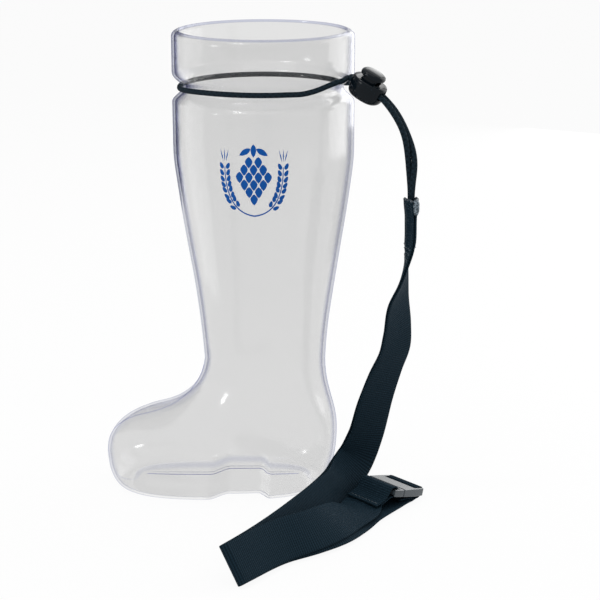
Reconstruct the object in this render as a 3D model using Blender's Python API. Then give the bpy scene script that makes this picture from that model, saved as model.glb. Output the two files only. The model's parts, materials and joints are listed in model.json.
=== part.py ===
"""Clear plastic beer boot with a neck lanyard, in metres, +Z up.

The boot is one blow-moulded shell with an open mouth. A thin cord runs round the groove under its
rim, through a spring cord lock and down to a flat webbing strap, whose two halves meet in a clip.
The origin is on the floor under the middle of the boot, and the toe points along -X.
"""

import math

import bmesh
import bpy
from mathutils import Matrix, Vector

# Boot, side view: heights above the floor and reaches from the axis of the leg
BOOT_HEIGHT = 0.290
RIM_RADIUS = 0.055
LIP_ROUND = 0.0042
BAND_HEIGHT = 0.0345
GROOVE_DEPTH = 0.0067
GROOVE_HALF_WIDTH = 0.009
SHOULDER_DROP = 0.069
CALF_DROP = 0.100
CALF_RADIUS = 0.0521
ANKLE_HEIGHT = 0.083
ANKLE_RADIUS = 0.0378
TOE_REACH = 0.101
TOE_TIP_HEIGHT = 0.023
TOE_TOP_REACH = 0.0765
TOE_TOP_HEIGHT = 0.0455
HEEL_REACH = 0.0457
HEEL_BULGE_HEIGHT = 0.037
FOOT_WIDTH = 0.082
BALL_SETBACK = 0.030
WALL = 0.0015

# Sole: rest pads, the hollow between them, the arch and the pinched seam
SOLE_ROUND = 0.012
SOLE_SIDE_ROUND = 0.0075
PAD_WIDTH = 0.0035
PUSH_UP = 0.0042
ARCH_HEIGHT = 0.0042
ARCH_FADE = 0.024
ARCH_FRONT = (-0.036, -0.022)
ARCH_BACK = (-0.003, 0.0025)
SEAM_HALF_WIDTH = 0.001
SEAM_FOOT = 0.0016
SEAM_DEPTH = 0.0006
SEAM_END = 0.012

# Cord, and where it leaves the neck
CORD_DIAMETER = 0.0032
CLEARANCE = 0.0003
NECK_CLEARANCE = 0.0007
FRONT_RISE = 0.0030
LOCK_BEARING = math.radians(31)
LOCK_STANDOFF = 0.0175
LOCK_RISE = 0.0058
ARC_RADIUS = 0.052
LOCK_DIP = math.radians(26)
PAIR_GAP = 0.0004
TWIST_START = math.radians(61)
TAIL_DROP = 0.0165
TAIL_SEWN = 0.026
JOIN_BEARING = math.radians(97)

# Cord lock: body, pocket, plunger and spring, about the crossing of bore and plunger
LOCK_LENGTH = 0.022
LOCK_WIDTH = 0.0165
LOCK_BELOW = 0.0085
LOCK_ABOVE = 0.0038
LOCK_FLOOR = 0.0010
PLUNGER_TRAVEL = 0.0020
STEM_LENGTH = 0.0100
STEM_WALL = 0.0014
STEM_FOOT = 0.0011
CAP_LENGTH = 0.0150
CAP_WIDTH = 0.0128
CAP_THICKNESS = 0.0032
FIT = 0.0003
SPRING_RADIUS = 0.0034
SPRING_WIRE = 0.0004
SPRING_TURNS = 3

# Webbing
STRAP_WIDTH = 0.025
STRAP_THICKNESS = 0.0009
LAYER_GAP = 0.0004
FOLD_SPREAD = 0.0027
TURN_SPREAD = 0.0009
TURN_LENGTH = 0.050
RING_SPACING = 0.006

# Clip: a plug that pulls out of a socket, each with a bar for its strap
CLIP_PLACE = (0.0716, -0.0416, 0.0120)
CLIP_HEADING = math.radians(46)
CLIP_DIP = math.radians(14.5)
CLIP_ROLL = math.radians(2)
CLIP_WIDTH = 0.030
CLIP_END_WIDTH = 0.0286
BAR_SIZE = 0.003
BAR_HEIGHT = 0.0026
PLUG_SLOT = 0.0028
PLUG_HEIGHT = 0.0046
PLUG_SHOULDER = 0.0022
TONGUE_LENGTH = 0.0095
TONGUE_WIDTH = 0.0200
TONGUE_HEIGHT = 0.0022
SOCKET_HEIGHT = 0.0050
SOCKET_BODY = 0.0120
SOCKET_SLOT = 0.0046
CLIP_EDGE = 0.0006

# Facets, and how far a cutter stands past what it cuts
CUT_PAST = 0.002
BOOT_SIDES = 44
LOCK_SIDES = 28
WINDOW_SIDES = 20
CORD_STEP = 0.009

# The origin stays under the middle of the boot, between toe and rim
LEG_X = (TOE_REACH - RIM_RADIUS) / 2
GROOVE_HEIGHT = BOOT_HEIGHT - BAND_HEIGHT
SHOULDER_HEIGHT = BOOT_HEIGHT - SHOULDER_DROP
CALF_HEIGHT = BOOT_HEIGHT - CALF_DROP
CORD_RADIUS = CORD_DIAMETER / 2
PAIR_HALF = (CORD_DIAMETER + PAIR_GAP) / 2
LAYER = STRAP_THICKNESS + LAYER_GAP
SLOT_WIDTH = STRAP_WIDTH + 4 * CLEARANCE
TWIST_END = JOIN_BEARING - math.pi

UP = Vector((0, 0, 1))
OUT = Vector((math.cos(LOCK_BEARING), -math.sin(LOCK_BEARING), 0))
ACROSS = Vector((math.sin(LOCK_BEARING), math.cos(LOCK_BEARING), 0))
LEG = Vector((LEG_X, 0, 0))


# Scene and materials

def clear_scene():
    for old in list(bpy.data.objects):
        bpy.data.objects.remove(old, do_unlink=True)


def plain_material(name, colour, roughness, clear=0.0):
    made = bpy.data.materials.new(name)
    made.use_nodes = True
    shader = made.node_tree.nodes["Principled BSDF"]
    shader.inputs["Base Color"].default_value = (*colour, 1)
    shader.inputs["Roughness"].default_value = roughness
    shader.inputs["Metallic"].default_value = 0
    shader.inputs["Transmission Weight"].default_value = clear
    return made


def steel_material(name):
    made = plain_material(name, (0.6, 0.6, 0.6), 0.3)
    made.node_tree.nodes["Principled BSDF"].inputs["Metallic"].default_value = 1
    return made


def lock_material(name):
    return plain_material(name, (0.015, 0.018, 0.02), 0.25)


def webbing_material(name):
    return plain_material(name, (0.02, 0.027, 0.034), 0.9)


def clip_material(name):
    return plain_material(name, (0.10, 0.11, 0.12), 0.35)


def add_object(name, data, material, parent=None):
    made = bpy.data.objects.new(name, data)
    bpy.context.scene.collection.objects.link(made)
    if material is not None:
        data.materials.append(material)
    made.parent = parent
    return made


def add_mesh(name, shape, material, parent=None, smooth_angle=40):
    bmesh.ops.recalc_face_normals(shape, faces=shape.faces)
    mesh = bpy.data.meshes.new(name)
    shape.to_mesh(mesh)
    shape.free()
    mesh.shade_smooth()
    mesh.set_sharp_from_angle(angle=math.radians(smooth_angle))
    return add_object(name, mesh, material, parent)


def add_empty(name, matrix):
    made = bpy.data.objects.new(name, None)
    bpy.context.scene.collection.objects.link(made)
    made.matrix_world = matrix
    return made


def add_cutter(name, shape, parent):
    made = add_mesh(name, shape, None, parent)
    made.hide_render = True
    made.display_type = "WIRE"
    return made


def cut(piece, cutter):
    modifier = piece.modifiers.new("cut_" + cutter.name, "BOOLEAN")
    modifier.operation = "DIFFERENCE"
    modifier.solver = "EXACT"
    modifier.object = cutter


# Curves and rings

def smooth(t):
    t = min(1.0, max(0.0, t))
    return t * t * (3 - 2 * t)


def bezier(a, b, c, d, t):
    s = 1 - t
    return [
        s * s * s * p + 3 * s * s * t * q + 3 * s * t * t * r + t * t * t * v
        for p, q, r, v in zip(a, b, c, d)
    ]


def reach_at(curves, height, steps=60):
    """The first number of the point at a height on a chain of curves that climb steadily."""
    last = None
    for curve in curves:
        for step in range(steps + 1):
            point = bezier(*curve, step / steps)
            if last is not None and point[1] >= height:
                share = (height - last[1]) / max(point[1] - last[1], 1e-9)
                return last[0] + share * (point[0] - last[0])
            last = point
    return last[0]


def spline(points, spacing):
    """Points about spacing apart on a smooth curve through places that may lie unevenly.

    Each point is a vector whose first three numbers are its place.
    """
    gaps = [(Vector(q[:3]) - Vector(p[:3])).length for p, q in zip(points, points[1:])]
    slopes = [(q - p) / gap for p, q, gap in zip(points, points[1:], gaps)]
    bends = [slopes[0]]
    for before, after, gap, next_gap in zip(slopes, slopes[1:], gaps, gaps[1:]):
        bends.append((before * next_gap + after * gap) / (gap + next_gap))
    bends.append(slopes[-1])
    made = [points[0].copy()]
    for i, gap in enumerate(gaps):
        steps = max(1, round(gap / spacing))
        for k in range(1, steps + 1):
            t = k / steps
            keep = 2 * t * t * t - 3 * t * t + 1
            leave = t * t * t - 2 * t * t + t
            arrive = t * t * t - t * t
            made.append(keep * points[i] + (1 - keep) * points[i + 1]
                        + gap * (leave * bends[i] + arrive * bends[i + 1]))
    return made


def add_ring(shape, points):
    ring = bmesh.ops.create_circle(shape, cap_ends=False, segments=len(points), radius=1)["verts"]
    for vert, point in zip(ring, points):
        vert.co = point
    return ring


def join_rings(shape, rings):
    for lower, upper in zip(rings, rings[1:]):
        count = len(lower)
        for i in range(count):
            j = (i + 1) % count
            shape.faces.new((lower[i], lower[j], upper[j], upper[i]))


def loft(rings_of_points):
    """A mesh through rings of points, closed at both ends."""
    shape = bmesh.new()
    rings = [add_ring(shape, points) for points in rings_of_points]
    join_rings(shape, rings)
    for ring in (rings[0], rings[-1]):
        bmesh.ops.contextual_create(shape, geom=ring)
    return shape


def even_turns(sides):
    return [2 * math.pi * i / sides for i in range(sides)]


def egg(front, back, half, power, turns):
    """Outline round (0, 0) with unlike ends: its points at each of the turns from +X."""
    made = []
    for turn in turns:
        x = math.cos(turn)
        y = math.sin(turn)
        length = back if x >= 0 else front
        reach = (abs(x / length) ** power + abs(y / half) ** power) ** (-1 / power)
        made.append((reach * x, reach * y))
    return made


# Boot shell

def front_curves():
    sole = (-(TOE_REACH - SOLE_ROUND), 0.0)
    tip = (-TOE_REACH, TOE_TIP_HEIGHT)
    top = (-TOE_TOP_REACH, TOE_TOP_HEIGHT)
    ankle = (-ANKLE_RADIUS, ANKLE_HEIGHT)
    toe_back = TOE_TOP_REACH - ANKLE_RADIUS
    instep = ANKLE_HEIGHT - TOE_TOP_HEIGHT
    return [
        (sole, (sole[0] - 0.65 * SOLE_ROUND, 0.0), (tip[0], 0.5 * tip[1]), tip),
        (tip, (tip[0], 0.5 * (tip[1] + top[1])), (0.4 * top[0] + 0.6 * tip[0], 0.95 * top[1]), top),
        (top, (top[0] + 0.43 * toe_back, top[1] + 0.1 * instep),
         (ankle[0] - 0.08 * toe_back, top[1] + 0.36 * instep), ankle),
    ]


def back_curves():
    sole = (HEEL_REACH - SOLE_ROUND, 0.0)
    bulge = (HEEL_REACH, HEEL_BULGE_HEIGHT)
    ankle = (ANKLE_RADIUS, ANKLE_HEIGHT)
    rise = ANKLE_HEIGHT - HEEL_BULGE_HEIGHT
    return [
        (sole, (sole[0] + 0.55 * SOLE_ROUND, 0.0), (bulge[0], 0.5 * bulge[1]), bulge),
        (bulge, (bulge[0], bulge[1] + 0.35 * rise), (ankle[0], ankle[1] - 0.45 * rise), ankle),
    ]


def side_curves():
    sole = (FOOT_WIDTH / 2 - SOLE_SIDE_ROUND, 0.0)
    widest = (FOOT_WIDTH / 2, TOE_TIP_HEIGHT)
    ankle = (ANKLE_RADIUS, ANKLE_HEIGHT)
    return [
        (sole, (sole[0] + 0.6 * SOLE_SIDE_ROUND, 0.0), (widest[0], 0.4 * widest[1]), widest),
        (widest, (widest[0], 0.55 * ankle[1]), (ankle[0], 0.75 * ankle[1]), ankle),
    ]


def leg_curves():
    ankle = (ANKLE_RADIUS, ANKLE_HEIGHT)
    calf = (CALF_RADIUS, CALF_HEIGHT)
    shoulder = (RIM_RADIUS, SHOULDER_HEIGHT)
    lean = (CALF_RADIUS - ANKLE_RADIUS) / (CALF_HEIGHT - ANKLE_HEIGHT)
    third = (CALF_HEIGHT - ANKLE_HEIGHT) / 3
    return [
        (ankle, (ankle[0] + 0.35 * lean * third, ankle[1] + third),
         (calf[0] - lean * third, calf[1] - third), calf),
        (calf, (calf[0] + 0.5 * lean * third, calf[1] + 0.5 * third),
         (shoulder[0], shoulder[1] - 0.3 * third), shoulder),
    ]


def arch_at(x):
    rise = smooth((x - ARCH_FRONT[0]) / (ARCH_FRONT[1] - ARCH_FRONT[0]))
    fall = smooth((x - ARCH_BACK[0]) / (ARCH_BACK[1] - ARCH_BACK[0]))
    return ARCH_HEIGHT * rise * (1 - fall)


def boot_turns():
    """Turns of the shell's points: even, but two at the front edge of the heel in place of one."""
    half = FOOT_WIDTH / 2 - SOLE_SIDE_ROUND
    edges = [math.atan2(half, BALL_SETBACK + x) for x in ARCH_BACK]
    middle = sum(edges) / 2
    even = even_turns(BOOT_SIDES)[:BOOT_SIDES // 2 + 1]
    near = min(even, key=lambda turn: abs(turn - middle))
    one_side = sorted([turn for turn in even if turn != near] + edges)
    return one_side + [2 * math.pi - turn for turn in reversed(one_side[1:-1])]


def foot_outline(height):
    """Outline of the foot at a height, as points from the leg's axis."""
    front = reach_at(front_curves(), height)
    back = reach_at(back_curves(), height)
    half = reach_at(side_curves(), height)
    low = 1 - smooth(height / ANKLE_HEIGHT)
    middle = -BALL_SETBACK * low
    boxy = 2 + 0.7 * smooth(1.6 * (1 - height / ANKLE_HEIGHT))
    points = egg(middle - front, back - middle, half, boxy, boot_turns())
    return [(middle + x, y) for x, y in points]


def sole_ring(inset, end_inset, rise, dip=0.0):
    """The sole's outline drawn in from its sides and, near them only, from its ends.

    The dip fades out towards both ends.
    """
    half = FOOT_WIDTH / 2 - SOLE_SIDE_ROUND
    made = []
    for x, y in foot_outline(0.0):
        along = x + BALL_SETBACK
        reach = TOE_REACH - SOLE_ROUND - BALL_SETBACK
        if along > 0:
            reach = HEEL_REACH - SOLE_ROUND + BALL_SETBACK
        share = abs(along / reach) ** 3
        drawn = along * (1 - end_inset / reach * share) - BALL_SETBACK
        made.append((drawn, y * (1 - inset / half), rise - dip * (1 - share) + arch_at(drawn)))
    return made


def sole_rings():
    """Rings from the pinched seam out to the edge of the rest pads."""
    seam_edge = FOOT_WIDTH / 2 - SOLE_SIDE_ROUND - SEAM_HALF_WIDTH
    seam_foot = seam_edge - SEAM_FOOT
    rings = [sole_ring(seam_edge, SEAM_END, PUSH_UP, SEAM_DEPTH)]
    for share in (1.0, 0.75, 0.5, 0.3, 0.14, 0.0):
        inset = PAD_WIDTH + share * (seam_foot - PAD_WIDTH)
        end_inset = PAD_WIDTH + share * (SEAM_END - SEAM_FOOT - PAD_WIDTH)
        rings.append(sole_ring(inset, end_inset, PUSH_UP * smooth(1.15 * share)))
    return rings


def foot_rings():
    heights = [share * TOE_TIP_HEIGHT for share in (0.0, 0.05, 0.15, 0.33, 0.6, 1.0)]
    toe = TOE_TOP_HEIGHT - TOE_TIP_HEIGHT
    heights += [TOE_TIP_HEIGHT + share * toe for share in (0.3, 0.55, 0.75, 0.9, 1.0)]
    instep = ANKLE_HEIGHT - TOE_TOP_HEIGHT
    heights += [TOE_TOP_HEIGHT + share * instep for share in (0.07, 0.16, 0.28, 0.43, 0.6, 0.8, 1.0)]
    rings = []
    for height in heights:
        low = max(0.0, 1 - height / ARCH_FADE)
        rings.append([(x, y, height + low * arch_at(x)) for x, y in foot_outline(height)])
    return rings


def groove_radius(height):
    off = (height - GROOVE_HEIGHT) / GROOVE_HALF_WIDTH
    if abs(off) >= 1:
        return RIM_RADIUS
    return RIM_RADIUS - GROOVE_DEPTH * math.cos(math.pi / 2 * off) ** 2


def leg_rings():
    profile = []
    leg = SHOULDER_HEIGHT - ANKLE_HEIGHT
    for share in (0.1, 0.25, 0.4, 0.55, 0.7, 0.82, 0.91, 1.0):
        height = ANKLE_HEIGHT + share * leg
        profile.append((reach_at(leg_curves(), height), height))
    for off in (-1, -0.74, -0.48, -0.24, 0, 0.24, 0.48, 0.74, 1):
        height = GROOVE_HEIGHT + off * GROOVE_HALF_WIDTH
        profile.append((groove_radius(height), height))
    for turn in (0, 30, 60, 90):
        angle = math.radians(turn)
        profile.append((RIM_RADIUS - LIP_ROUND * (1 - math.cos(angle)),
                        BOOT_HEIGHT - LIP_ROUND * (1 - math.sin(angle))))
    rings = []
    for radius, height in profile:
        rings.append([(x, y, height) for x, y in egg(radius, radius, radius, 2, boot_turns())])
    return rings


def make_boot_shell():
    shape = bmesh.new()
    points = sole_rings() + foot_rings() + leg_rings()
    rings = [add_ring(shape, [Vector(p) + LEG for p in ring]) for ring in points]
    join_rings(shape, rings)
    seam = rings[0]
    half = len(seam) // 2
    for i in range(half):
        corners = [seam[i], seam[i + 1], seam[-i - 1], seam[-i] if i else seam[0]]
        shape.faces.new(list(dict.fromkeys(corners)))
    clear = plain_material("clear_plastic", (0.86, 0.87, 0.89), 0.05, 1.0)
    shell = add_mesh("boot_shell", shape, clear)
    wall = shell.modifiers.new("wall", "SOLIDIFY")
    wall.thickness = WALL
    wall.offset = -1
    wall.use_even_offset = True
    wall.use_quality_normals = True
    return shell


# Cord: the hanging arc, the loop round the neck and the twisted tails

def lock_centre():
    reach = RIM_RADIUS + LOCK_STANDOFF
    return LEG + reach * OUT + (GROOVE_HEIGHT + LOCK_RISE) * UP


def arc_centre():
    return lock_centre() - ARC_RADIUS * arc_outward(LOCK_DIP)


def arc_outward(dip):
    return math.sin(dip) * OUT + math.cos(dip) * UP


def arc_along(dip):
    return math.cos(dip) * OUT - math.sin(dip) * UP


def arc_point(dip):
    return arc_centre() + ARC_RADIUS * arc_outward(dip)


def tail_middle():
    """Points down the middle of the two tails, from the lock to their sewn ends, with turns."""
    half_lock = LOCK_LENGTH / 2 / ARC_RADIUS
    first = LOCK_DIP - half_lock - math.radians(3)
    arc_steps = 13
    made = []
    twist_length = (math.pi / 2 - TWIST_START) * ARC_RADIUS + TAIL_DROP
    bearing = math.atan2(ACROSS.y, ACROSS.x)
    for i in range(arc_steps):
        dip = first + (math.pi / 2 - first) * i / (arc_steps - 1)
        run = max(0.0, (dip - TWIST_START) * ARC_RADIUS)
        turn = bearing + (TWIST_END - bearing) * smooth(run / twist_length)
        made.append((arc_point(dip), turn))
    end = arc_point(math.pi / 2)
    for drop in (0.35, 0.7, 1.0):
        run = (math.pi / 2 - TWIST_START) * ARC_RADIUS + drop * TAIL_DROP
        turn = bearing + (TWIST_END - bearing) * smooth(run / twist_length)
        made.append((end - drop * TAIL_DROP * UP, turn))
    for share in (0.34, 0.67, 1.0):
        made.append((end - (TAIL_DROP + share * TAIL_SEWN) * UP, TWIST_END))
    return made


def tail_points(side):
    made = []
    for place, turn in tail_middle():
        off = Vector((math.cos(turn), math.sin(turn), 0))
        made.append(place + side * PAIR_HALF * off)
    return made


def neck_reach(climb):
    """Least reach of the cord's middle at a height above the groove, clear of the shell."""
    clear = CORD_RADIUS + NECK_CLEARANCE
    turns = [math.radians(5 * i) for i in range(-18, 19)]
    return max(groove_radius(GROOVE_HEIGHT + climb + clear * math.sin(turn)) + clear * math.cos(turn)
               for turn in turns)


# How the cord leaves the groove: turn from the lock's bearing, climb and extra reach
NECK_LEAVES = [
    (math.radians(7.6), 0.0092, 0.0032),
    (math.radians(11.5), 0.0082, 0.0012),
    (math.radians(17.0), 0.0066, 0.0002),
    (math.radians(24.0), 0.0044, 0.0),
    (math.radians(32.0), 0.0022, 0.0),
    (math.radians(42.0), 0.0006, 0.0),
    (math.radians(54.0), 0.0, 0.0),
]


def neck_points():
    """The loop round the neck, from the front tail's side of the lock to the back tail's side."""
    turns = list(NECK_LEAVES)
    first = NECK_LEAVES[-1][0]
    steps = 26
    for i in range(1, steps):
        turns.append((first + (2 * math.pi - 2 * first) * i / steps, 0.0, 0.0))
    turns += [(2 * math.pi - turn, climb, past) for turn, climb, past in reversed(NECK_LEAVES)]
    made = []
    for turn, climb, past in turns:
        bearing = LOCK_BEARING + turn
        climb = max(climb, FRONT_RISE * smooth(math.sin(bearing)))
        flat = Vector((math.cos(bearing), -math.sin(bearing), 0))
        made.append(LEG + (neck_reach(climb) + past) * flat + (GROOVE_HEIGHT + climb) * UP)
    return made


def make_neck_cord():
    front = tail_points(-1)
    back = tail_points(1)
    route = list(reversed(front)) + neck_points() + back
    points = spline(route, CORD_STEP)
    curve = bpy.data.curves.new("neck_cord", "CURVE")
    curve.dimensions = "3D"
    curve.bevel_depth = CORD_RADIUS
    curve.bevel_resolution = 2
    curve.use_fill_caps = True
    line = curve.splines.new("POLY")
    line.points.add(len(points) - 1)
    for spot, point in zip(line.points, points):
        spot.co = (*point, 1)
    print("neck cord points", len(points))
    return add_object("neck_cord", curve, plain_material("black_cord", (0.02, 0.025, 0.03), 0.8))


# Cord lock, in its own frame: X along the bore, Z along the plunger

def lock_frame():
    along = arc_along(LOCK_DIP)
    outward = arc_outward(LOCK_DIP)
    turn = Matrix((along, ACROSS, outward)).transposed().to_4x4()
    return Matrix.Translation(arc_centre()) @ turn


def oval(length, width, power, height):
    half = length / 2
    outline = egg(half, half, width / 2, power, even_turns(LOCK_SIDES))
    return [Vector((x, y, height)) for x, y in outline]


PASSAGE_SAG = ARC_RADIUS * (1 - math.cos(LOCK_LENGTH / 2 / ARC_RADIUS))
PASSAGE_TOP = CORD_RADIUS + CLEARANCE
PASSAGE_BOTTOM = -PASSAGE_SAG - CORD_RADIUS - 1.5 * CLEARANCE
PASSAGE_WIDTH = 2 * (PAIR_HALF + CORD_RADIUS + 2 * CLEARANCE)
STEM_WIDTH = PASSAGE_WIDTH + 2 * STEM_WALL
WINDOW_BOTTOM = -CORD_RADIUS - 2 * CLEARANCE
WINDOW_TOP = PASSAGE_TOP + PLUNGER_TRAVEL + CLEARANCE
STEM_BOTTOM = WINDOW_BOTTOM - STEM_FOOT
CAP_BOTTOM = LOCK_ABOVE + PLUNGER_TRAVEL + 2 * CLEARANCE
POCKET_FLOOR = -LOCK_BELOW + LOCK_FLOOR


def window(bottom, top, width, length):
    """A rounded bar along X, to cut a passage from bottom to top."""
    middle = (top + bottom) / 2
    outline = egg(width / 2, width / 2, (top - bottom) / 2, 5, even_turns(WINDOW_SIDES))
    return loft([[Vector((x, y, middle + z)) for y, z in outline] for x in (-length / 2, length / 2)])


def make_lock_body(pivot):
    full = LOCK_BELOW + LOCK_ABOVE
    levels = [(0.0, 0.60), (0.05, 0.79), (0.14, 0.91), (0.28, 0.975), (0.5, 1.0),
              (0.88, 1.0), (0.965, 0.975), (1.0, 0.93)]
    shape = loft([
        oval(LOCK_LENGTH * size, LOCK_WIDTH * size, 2.4, ARC_RADIUS - LOCK_BELOW + full * share)
        for share, size in levels
    ])
    body = add_mesh("lock_body", shape, lock_material("lock_body_plastic"), pivot)
    pocket = loft([
        oval(STEM_LENGTH + 2 * FIT, STEM_WIDTH + 2 * FIT, 4, ARC_RADIUS + height)
        for height in (POCKET_FLOOR, LOCK_ABOVE + CUT_PAST)
    ])
    passage = window(ARC_RADIUS + PASSAGE_BOTTOM, ARC_RADIUS + PASSAGE_TOP, PASSAGE_WIDTH,
                     2 * LOCK_LENGTH)
    cut(body, add_cutter("lock_pocket_cutter", pocket, pivot))
    cut(body, add_cutter("lock_passage_cutter", passage, pivot))
    return body


def make_lock_plunger(pivot):
    stem_top = (STEM_LENGTH, STEM_WIDTH, 4, CAP_BOTTOM)
    levels = [
        (STEM_LENGTH * 0.94, STEM_WIDTH * 0.94, 4, STEM_BOTTOM),
        (STEM_LENGTH, STEM_WIDTH, 4, STEM_BOTTOM + 0.3 * STEM_FOOT),
        stem_top,
        (CAP_LENGTH * 0.95, CAP_WIDTH * 0.95, 2.4, CAP_BOTTOM),
        (CAP_LENGTH, CAP_WIDTH, 2.4, CAP_BOTTOM + 0.15 * CAP_THICKNESS),
        (CAP_LENGTH, CAP_WIDTH, 2.4, CAP_BOTTOM + 0.5 * CAP_THICKNESS),
        (CAP_LENGTH * 0.93, CAP_WIDTH * 0.93, 2.4, CAP_BOTTOM + 0.8 * CAP_THICKNESS),
        (CAP_LENGTH * 0.72, CAP_WIDTH * 0.72, 2.4, CAP_BOTTOM + CAP_THICKNESS),
    ]
    shape = loft([oval(a, b, power, height) for a, b, power, height in levels])
    plunger = add_mesh("lock_plunger", shape, lock_material("lock_plunger_plastic"), pivot)
    plunger.location = (0, 0, ARC_RADIUS)
    cutter = add_cutter("lock_window_cutter", window(WINDOW_BOTTOM, WINDOW_TOP, PASSAGE_WIDTH,
                                                     2 * LOCK_LENGTH), pivot)
    cutter.location = plunger.location
    cut(plunger, cutter)
    return plunger


def make_lock_spring(pivot):
    bottom = POCKET_FLOOR + CLEARANCE + SPRING_WIRE / 2
    top = STEM_BOTTOM - CLEARANCE - SPRING_WIRE / 2
    per_turn = 9
    count = SPRING_TURNS * per_turn + 1
    curve = bpy.data.curves.new("lock_spring", "CURVE")
    curve.dimensions = "3D"
    curve.bevel_depth = SPRING_WIRE / 2
    curve.bevel_resolution = 1
    curve.use_fill_caps = True
    line = curve.splines.new("POLY")
    line.points.add(count - 1)
    for i, spot in enumerate(line.points):
        turn = 2 * math.pi * i / per_turn
        height = bottom + (top - bottom) * i / (count - 1)
        spot.co = (SPRING_RADIUS * math.cos(turn), SPRING_RADIUS * math.sin(turn), height, 1)
    gap = (top - bottom) / SPRING_TURNS - SPRING_WIRE
    print(f"lock spring: least gap between turns {gap * 1000:.2f} mm")
    spring = add_object("lock_spring", curve, steel_material("spring_steel"), pivot)
    spring.location = (0, 0, ARC_RADIUS)
    return spring


# Webbing: each strap is one ribbon through stations of (place, side), where side points to the edge
# that hangs on the right and lies lowest on the floor

def side_of(bearing, dip):
    flat = math.cos(math.radians(dip))
    angle = math.radians(bearing)
    return Vector((flat * math.cos(angle), flat * math.sin(angle), -math.sin(math.radians(dip))))


def clip_frame():
    turn = (Matrix.Rotation(CLIP_HEADING, 4, "Z") @ Matrix.Rotation(CLIP_DIP, 4, "Y")
            @ Matrix.Rotation(CLIP_ROLL, 4, "X"))
    return Matrix.Translation(LEG + Vector(CLIP_PLACE)) @ turn


# Hanging pair: share of the way up from its foot, bow along X and Y, bearing and dip of its side
HANGING_FOOT = (0.0533, -0.0160, 0.0142)
HANGING = [
    (0.929, 0.0024, -0.0026, 97, 0),
    (0.859, 0.0047, -0.0053, 95, 0),
    (0.779, 0.0051, -0.0071, 86, 0),
    (0.726, 0.0054, -0.0069, 77, 0),
    (0.653, 0.0056, -0.0061, 62, 0),
    (0.542, 0.0093, -0.0047, 49, 0),
    (0.466, 0.0109, -0.0036, 41, 1),
    (0.380, 0.0087, -0.0018, 35, 1),
    (0.268, 0.0068, 0.0005, 30, 2),
    (0.115, 0.0057, 0.0028, 26, 6),
]
# Back of the wall of webbing on the floor: place from the leg's axis, bearing and dip of its side
WALL_BACK = [
    (0.0577, -0.0180, 0.0225, 20, 24),
    (0.0496, -0.0290, 0.0142, 4, 52),
    (0.0424, -0.0465, 0.0130, -12, 72),
    (0.0346, -0.0660, 0.0126, -20, 66),
    (0.0215, -0.0920, 0.0120, -25, 60),
    (0.0085, -0.1155, 0.0117, -27, 58),
    (-0.0055, -0.1380, 0.0115, -28, 58),
    (-0.0162, -0.1535, 0.0114, -28, 58),
]
# Front of the wall under its top layer, from near the fold to the clip
WALL_FRONT = [
    (0.0120, -0.1230, 0.0117, -31, 52),
    (0.0300, -0.1100, 0.0110, -34, 45),
    (0.0420, -0.0985, 0.0098, -36, 38),
    (0.0513, -0.0821, 0.0068, -38, 24),
    (0.0600, -0.0643, 0.0034, -38, 6),
    (0.0685, -0.0518, 0.0026, -40, 2),
    (0.0746, -0.0433, 0.0025, -42, 2),
    (0.0804, -0.0348, 0.0026, -44, 3),
]
# The top layer over it: lift off the layer below and shift towards the upper edge
TOP_LAYER = [(0.0016, 0.0010), (0.0017, 0.0020), (0.0018, 0.0030), (0.0020, 0.0035), (0.0028, 0.0020)]


def hanging_stations():
    """Stations of the middle of the pair, from the sewn end down."""
    top = arc_point(math.pi / 2) - TAIL_DROP * UP
    foot = LEG + Vector(HANGING_FOOT)
    made = [(top, side_of(math.degrees(JOIN_BEARING), 0))]
    for share, bow_x, bow_y, bearing, dip in HANGING:
        place = foot.lerp(top, share) + Vector((bow_x, bow_y, 0))
        made.append((place, side_of(bearing, dip)))
    return made


def listed_stations(rows):
    return [(LEG + Vector(row[:3]), side_of(row[3], row[4])) for row in rows]


def fill_in(stations):
    """More stations on a smooth run through the given ones."""
    rows = [Vector((*place, *side)) for place, side in stations]
    return [(Vector(row[:3]), Vector(row[3:]).normalized()) for row in spline(rows, RING_SPACING)]


def square_up(stations):
    """(place, side, face) of each station, with side and face square to the run."""
    made = []
    for i, (place, side) in enumerate(stations):
        before = stations[max(i - 1, 0)][0]
        after = stations[min(i + 1, len(stations) - 1)][0]
        ahead = (after - before).normalized()
        side = (side - side.dot(ahead) * ahead).normalized()
        made.append((place, side, ahead.cross(side)))
    return made


def moved(stations, distances):
    """The stations shifted along their faces by a distance each."""
    return [(place + distance * face, side)
            for (place, side, face), distance in zip(square_up(stations), distances)]


def pair_gaps(stations):
    """Half the spacing of the pair's layers: wide round the sewn cord ends and in the turn."""
    sewn = CORD_RADIUS + 1.4 * CLEARANCE + STRAP_THICKNESS / 2
    top = stations[0][0].z
    turn = LEG + Vector(HANGING_FOOT)
    made = []
    for place, _ in stations:
        below = (top - place.z - TAIL_SEWN) / TAIL_SEWN
        loose = TURN_SPREAD * smooth(1.3 - (place - turn).length / TURN_LENGTH)
        made.append(sewn + (LAYER / 2 - sewn) * smooth(2 * below) + loose)
    return made


def fold(back, front, ahead, steps=6):
    """Stations round a fold, between the ends of a back layer and a front layer."""
    middle = (front[0] + back[0]) / 2
    spread = (front[0] - back[0]) / 2
    out = (ahead - ahead.project(spread)).normalized() * spread.length
    made = []
    for i in range(1, steps):
        turn = math.pi * i / steps
        made.append((middle - math.cos(turn) * spread + math.sin(turn) * out, back[1]))
    return made


# Middle of the webbing where it just clears a bar, along and above the bar's own middle
BAR_WIDE = BAR_SIZE / 2 + CLEARANCE + STRAP_THICKNESS / 2
BAR_HIGH = BAR_HEIGHT / 2 + CLEARANCE + STRAP_THICKNESS / 2


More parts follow.
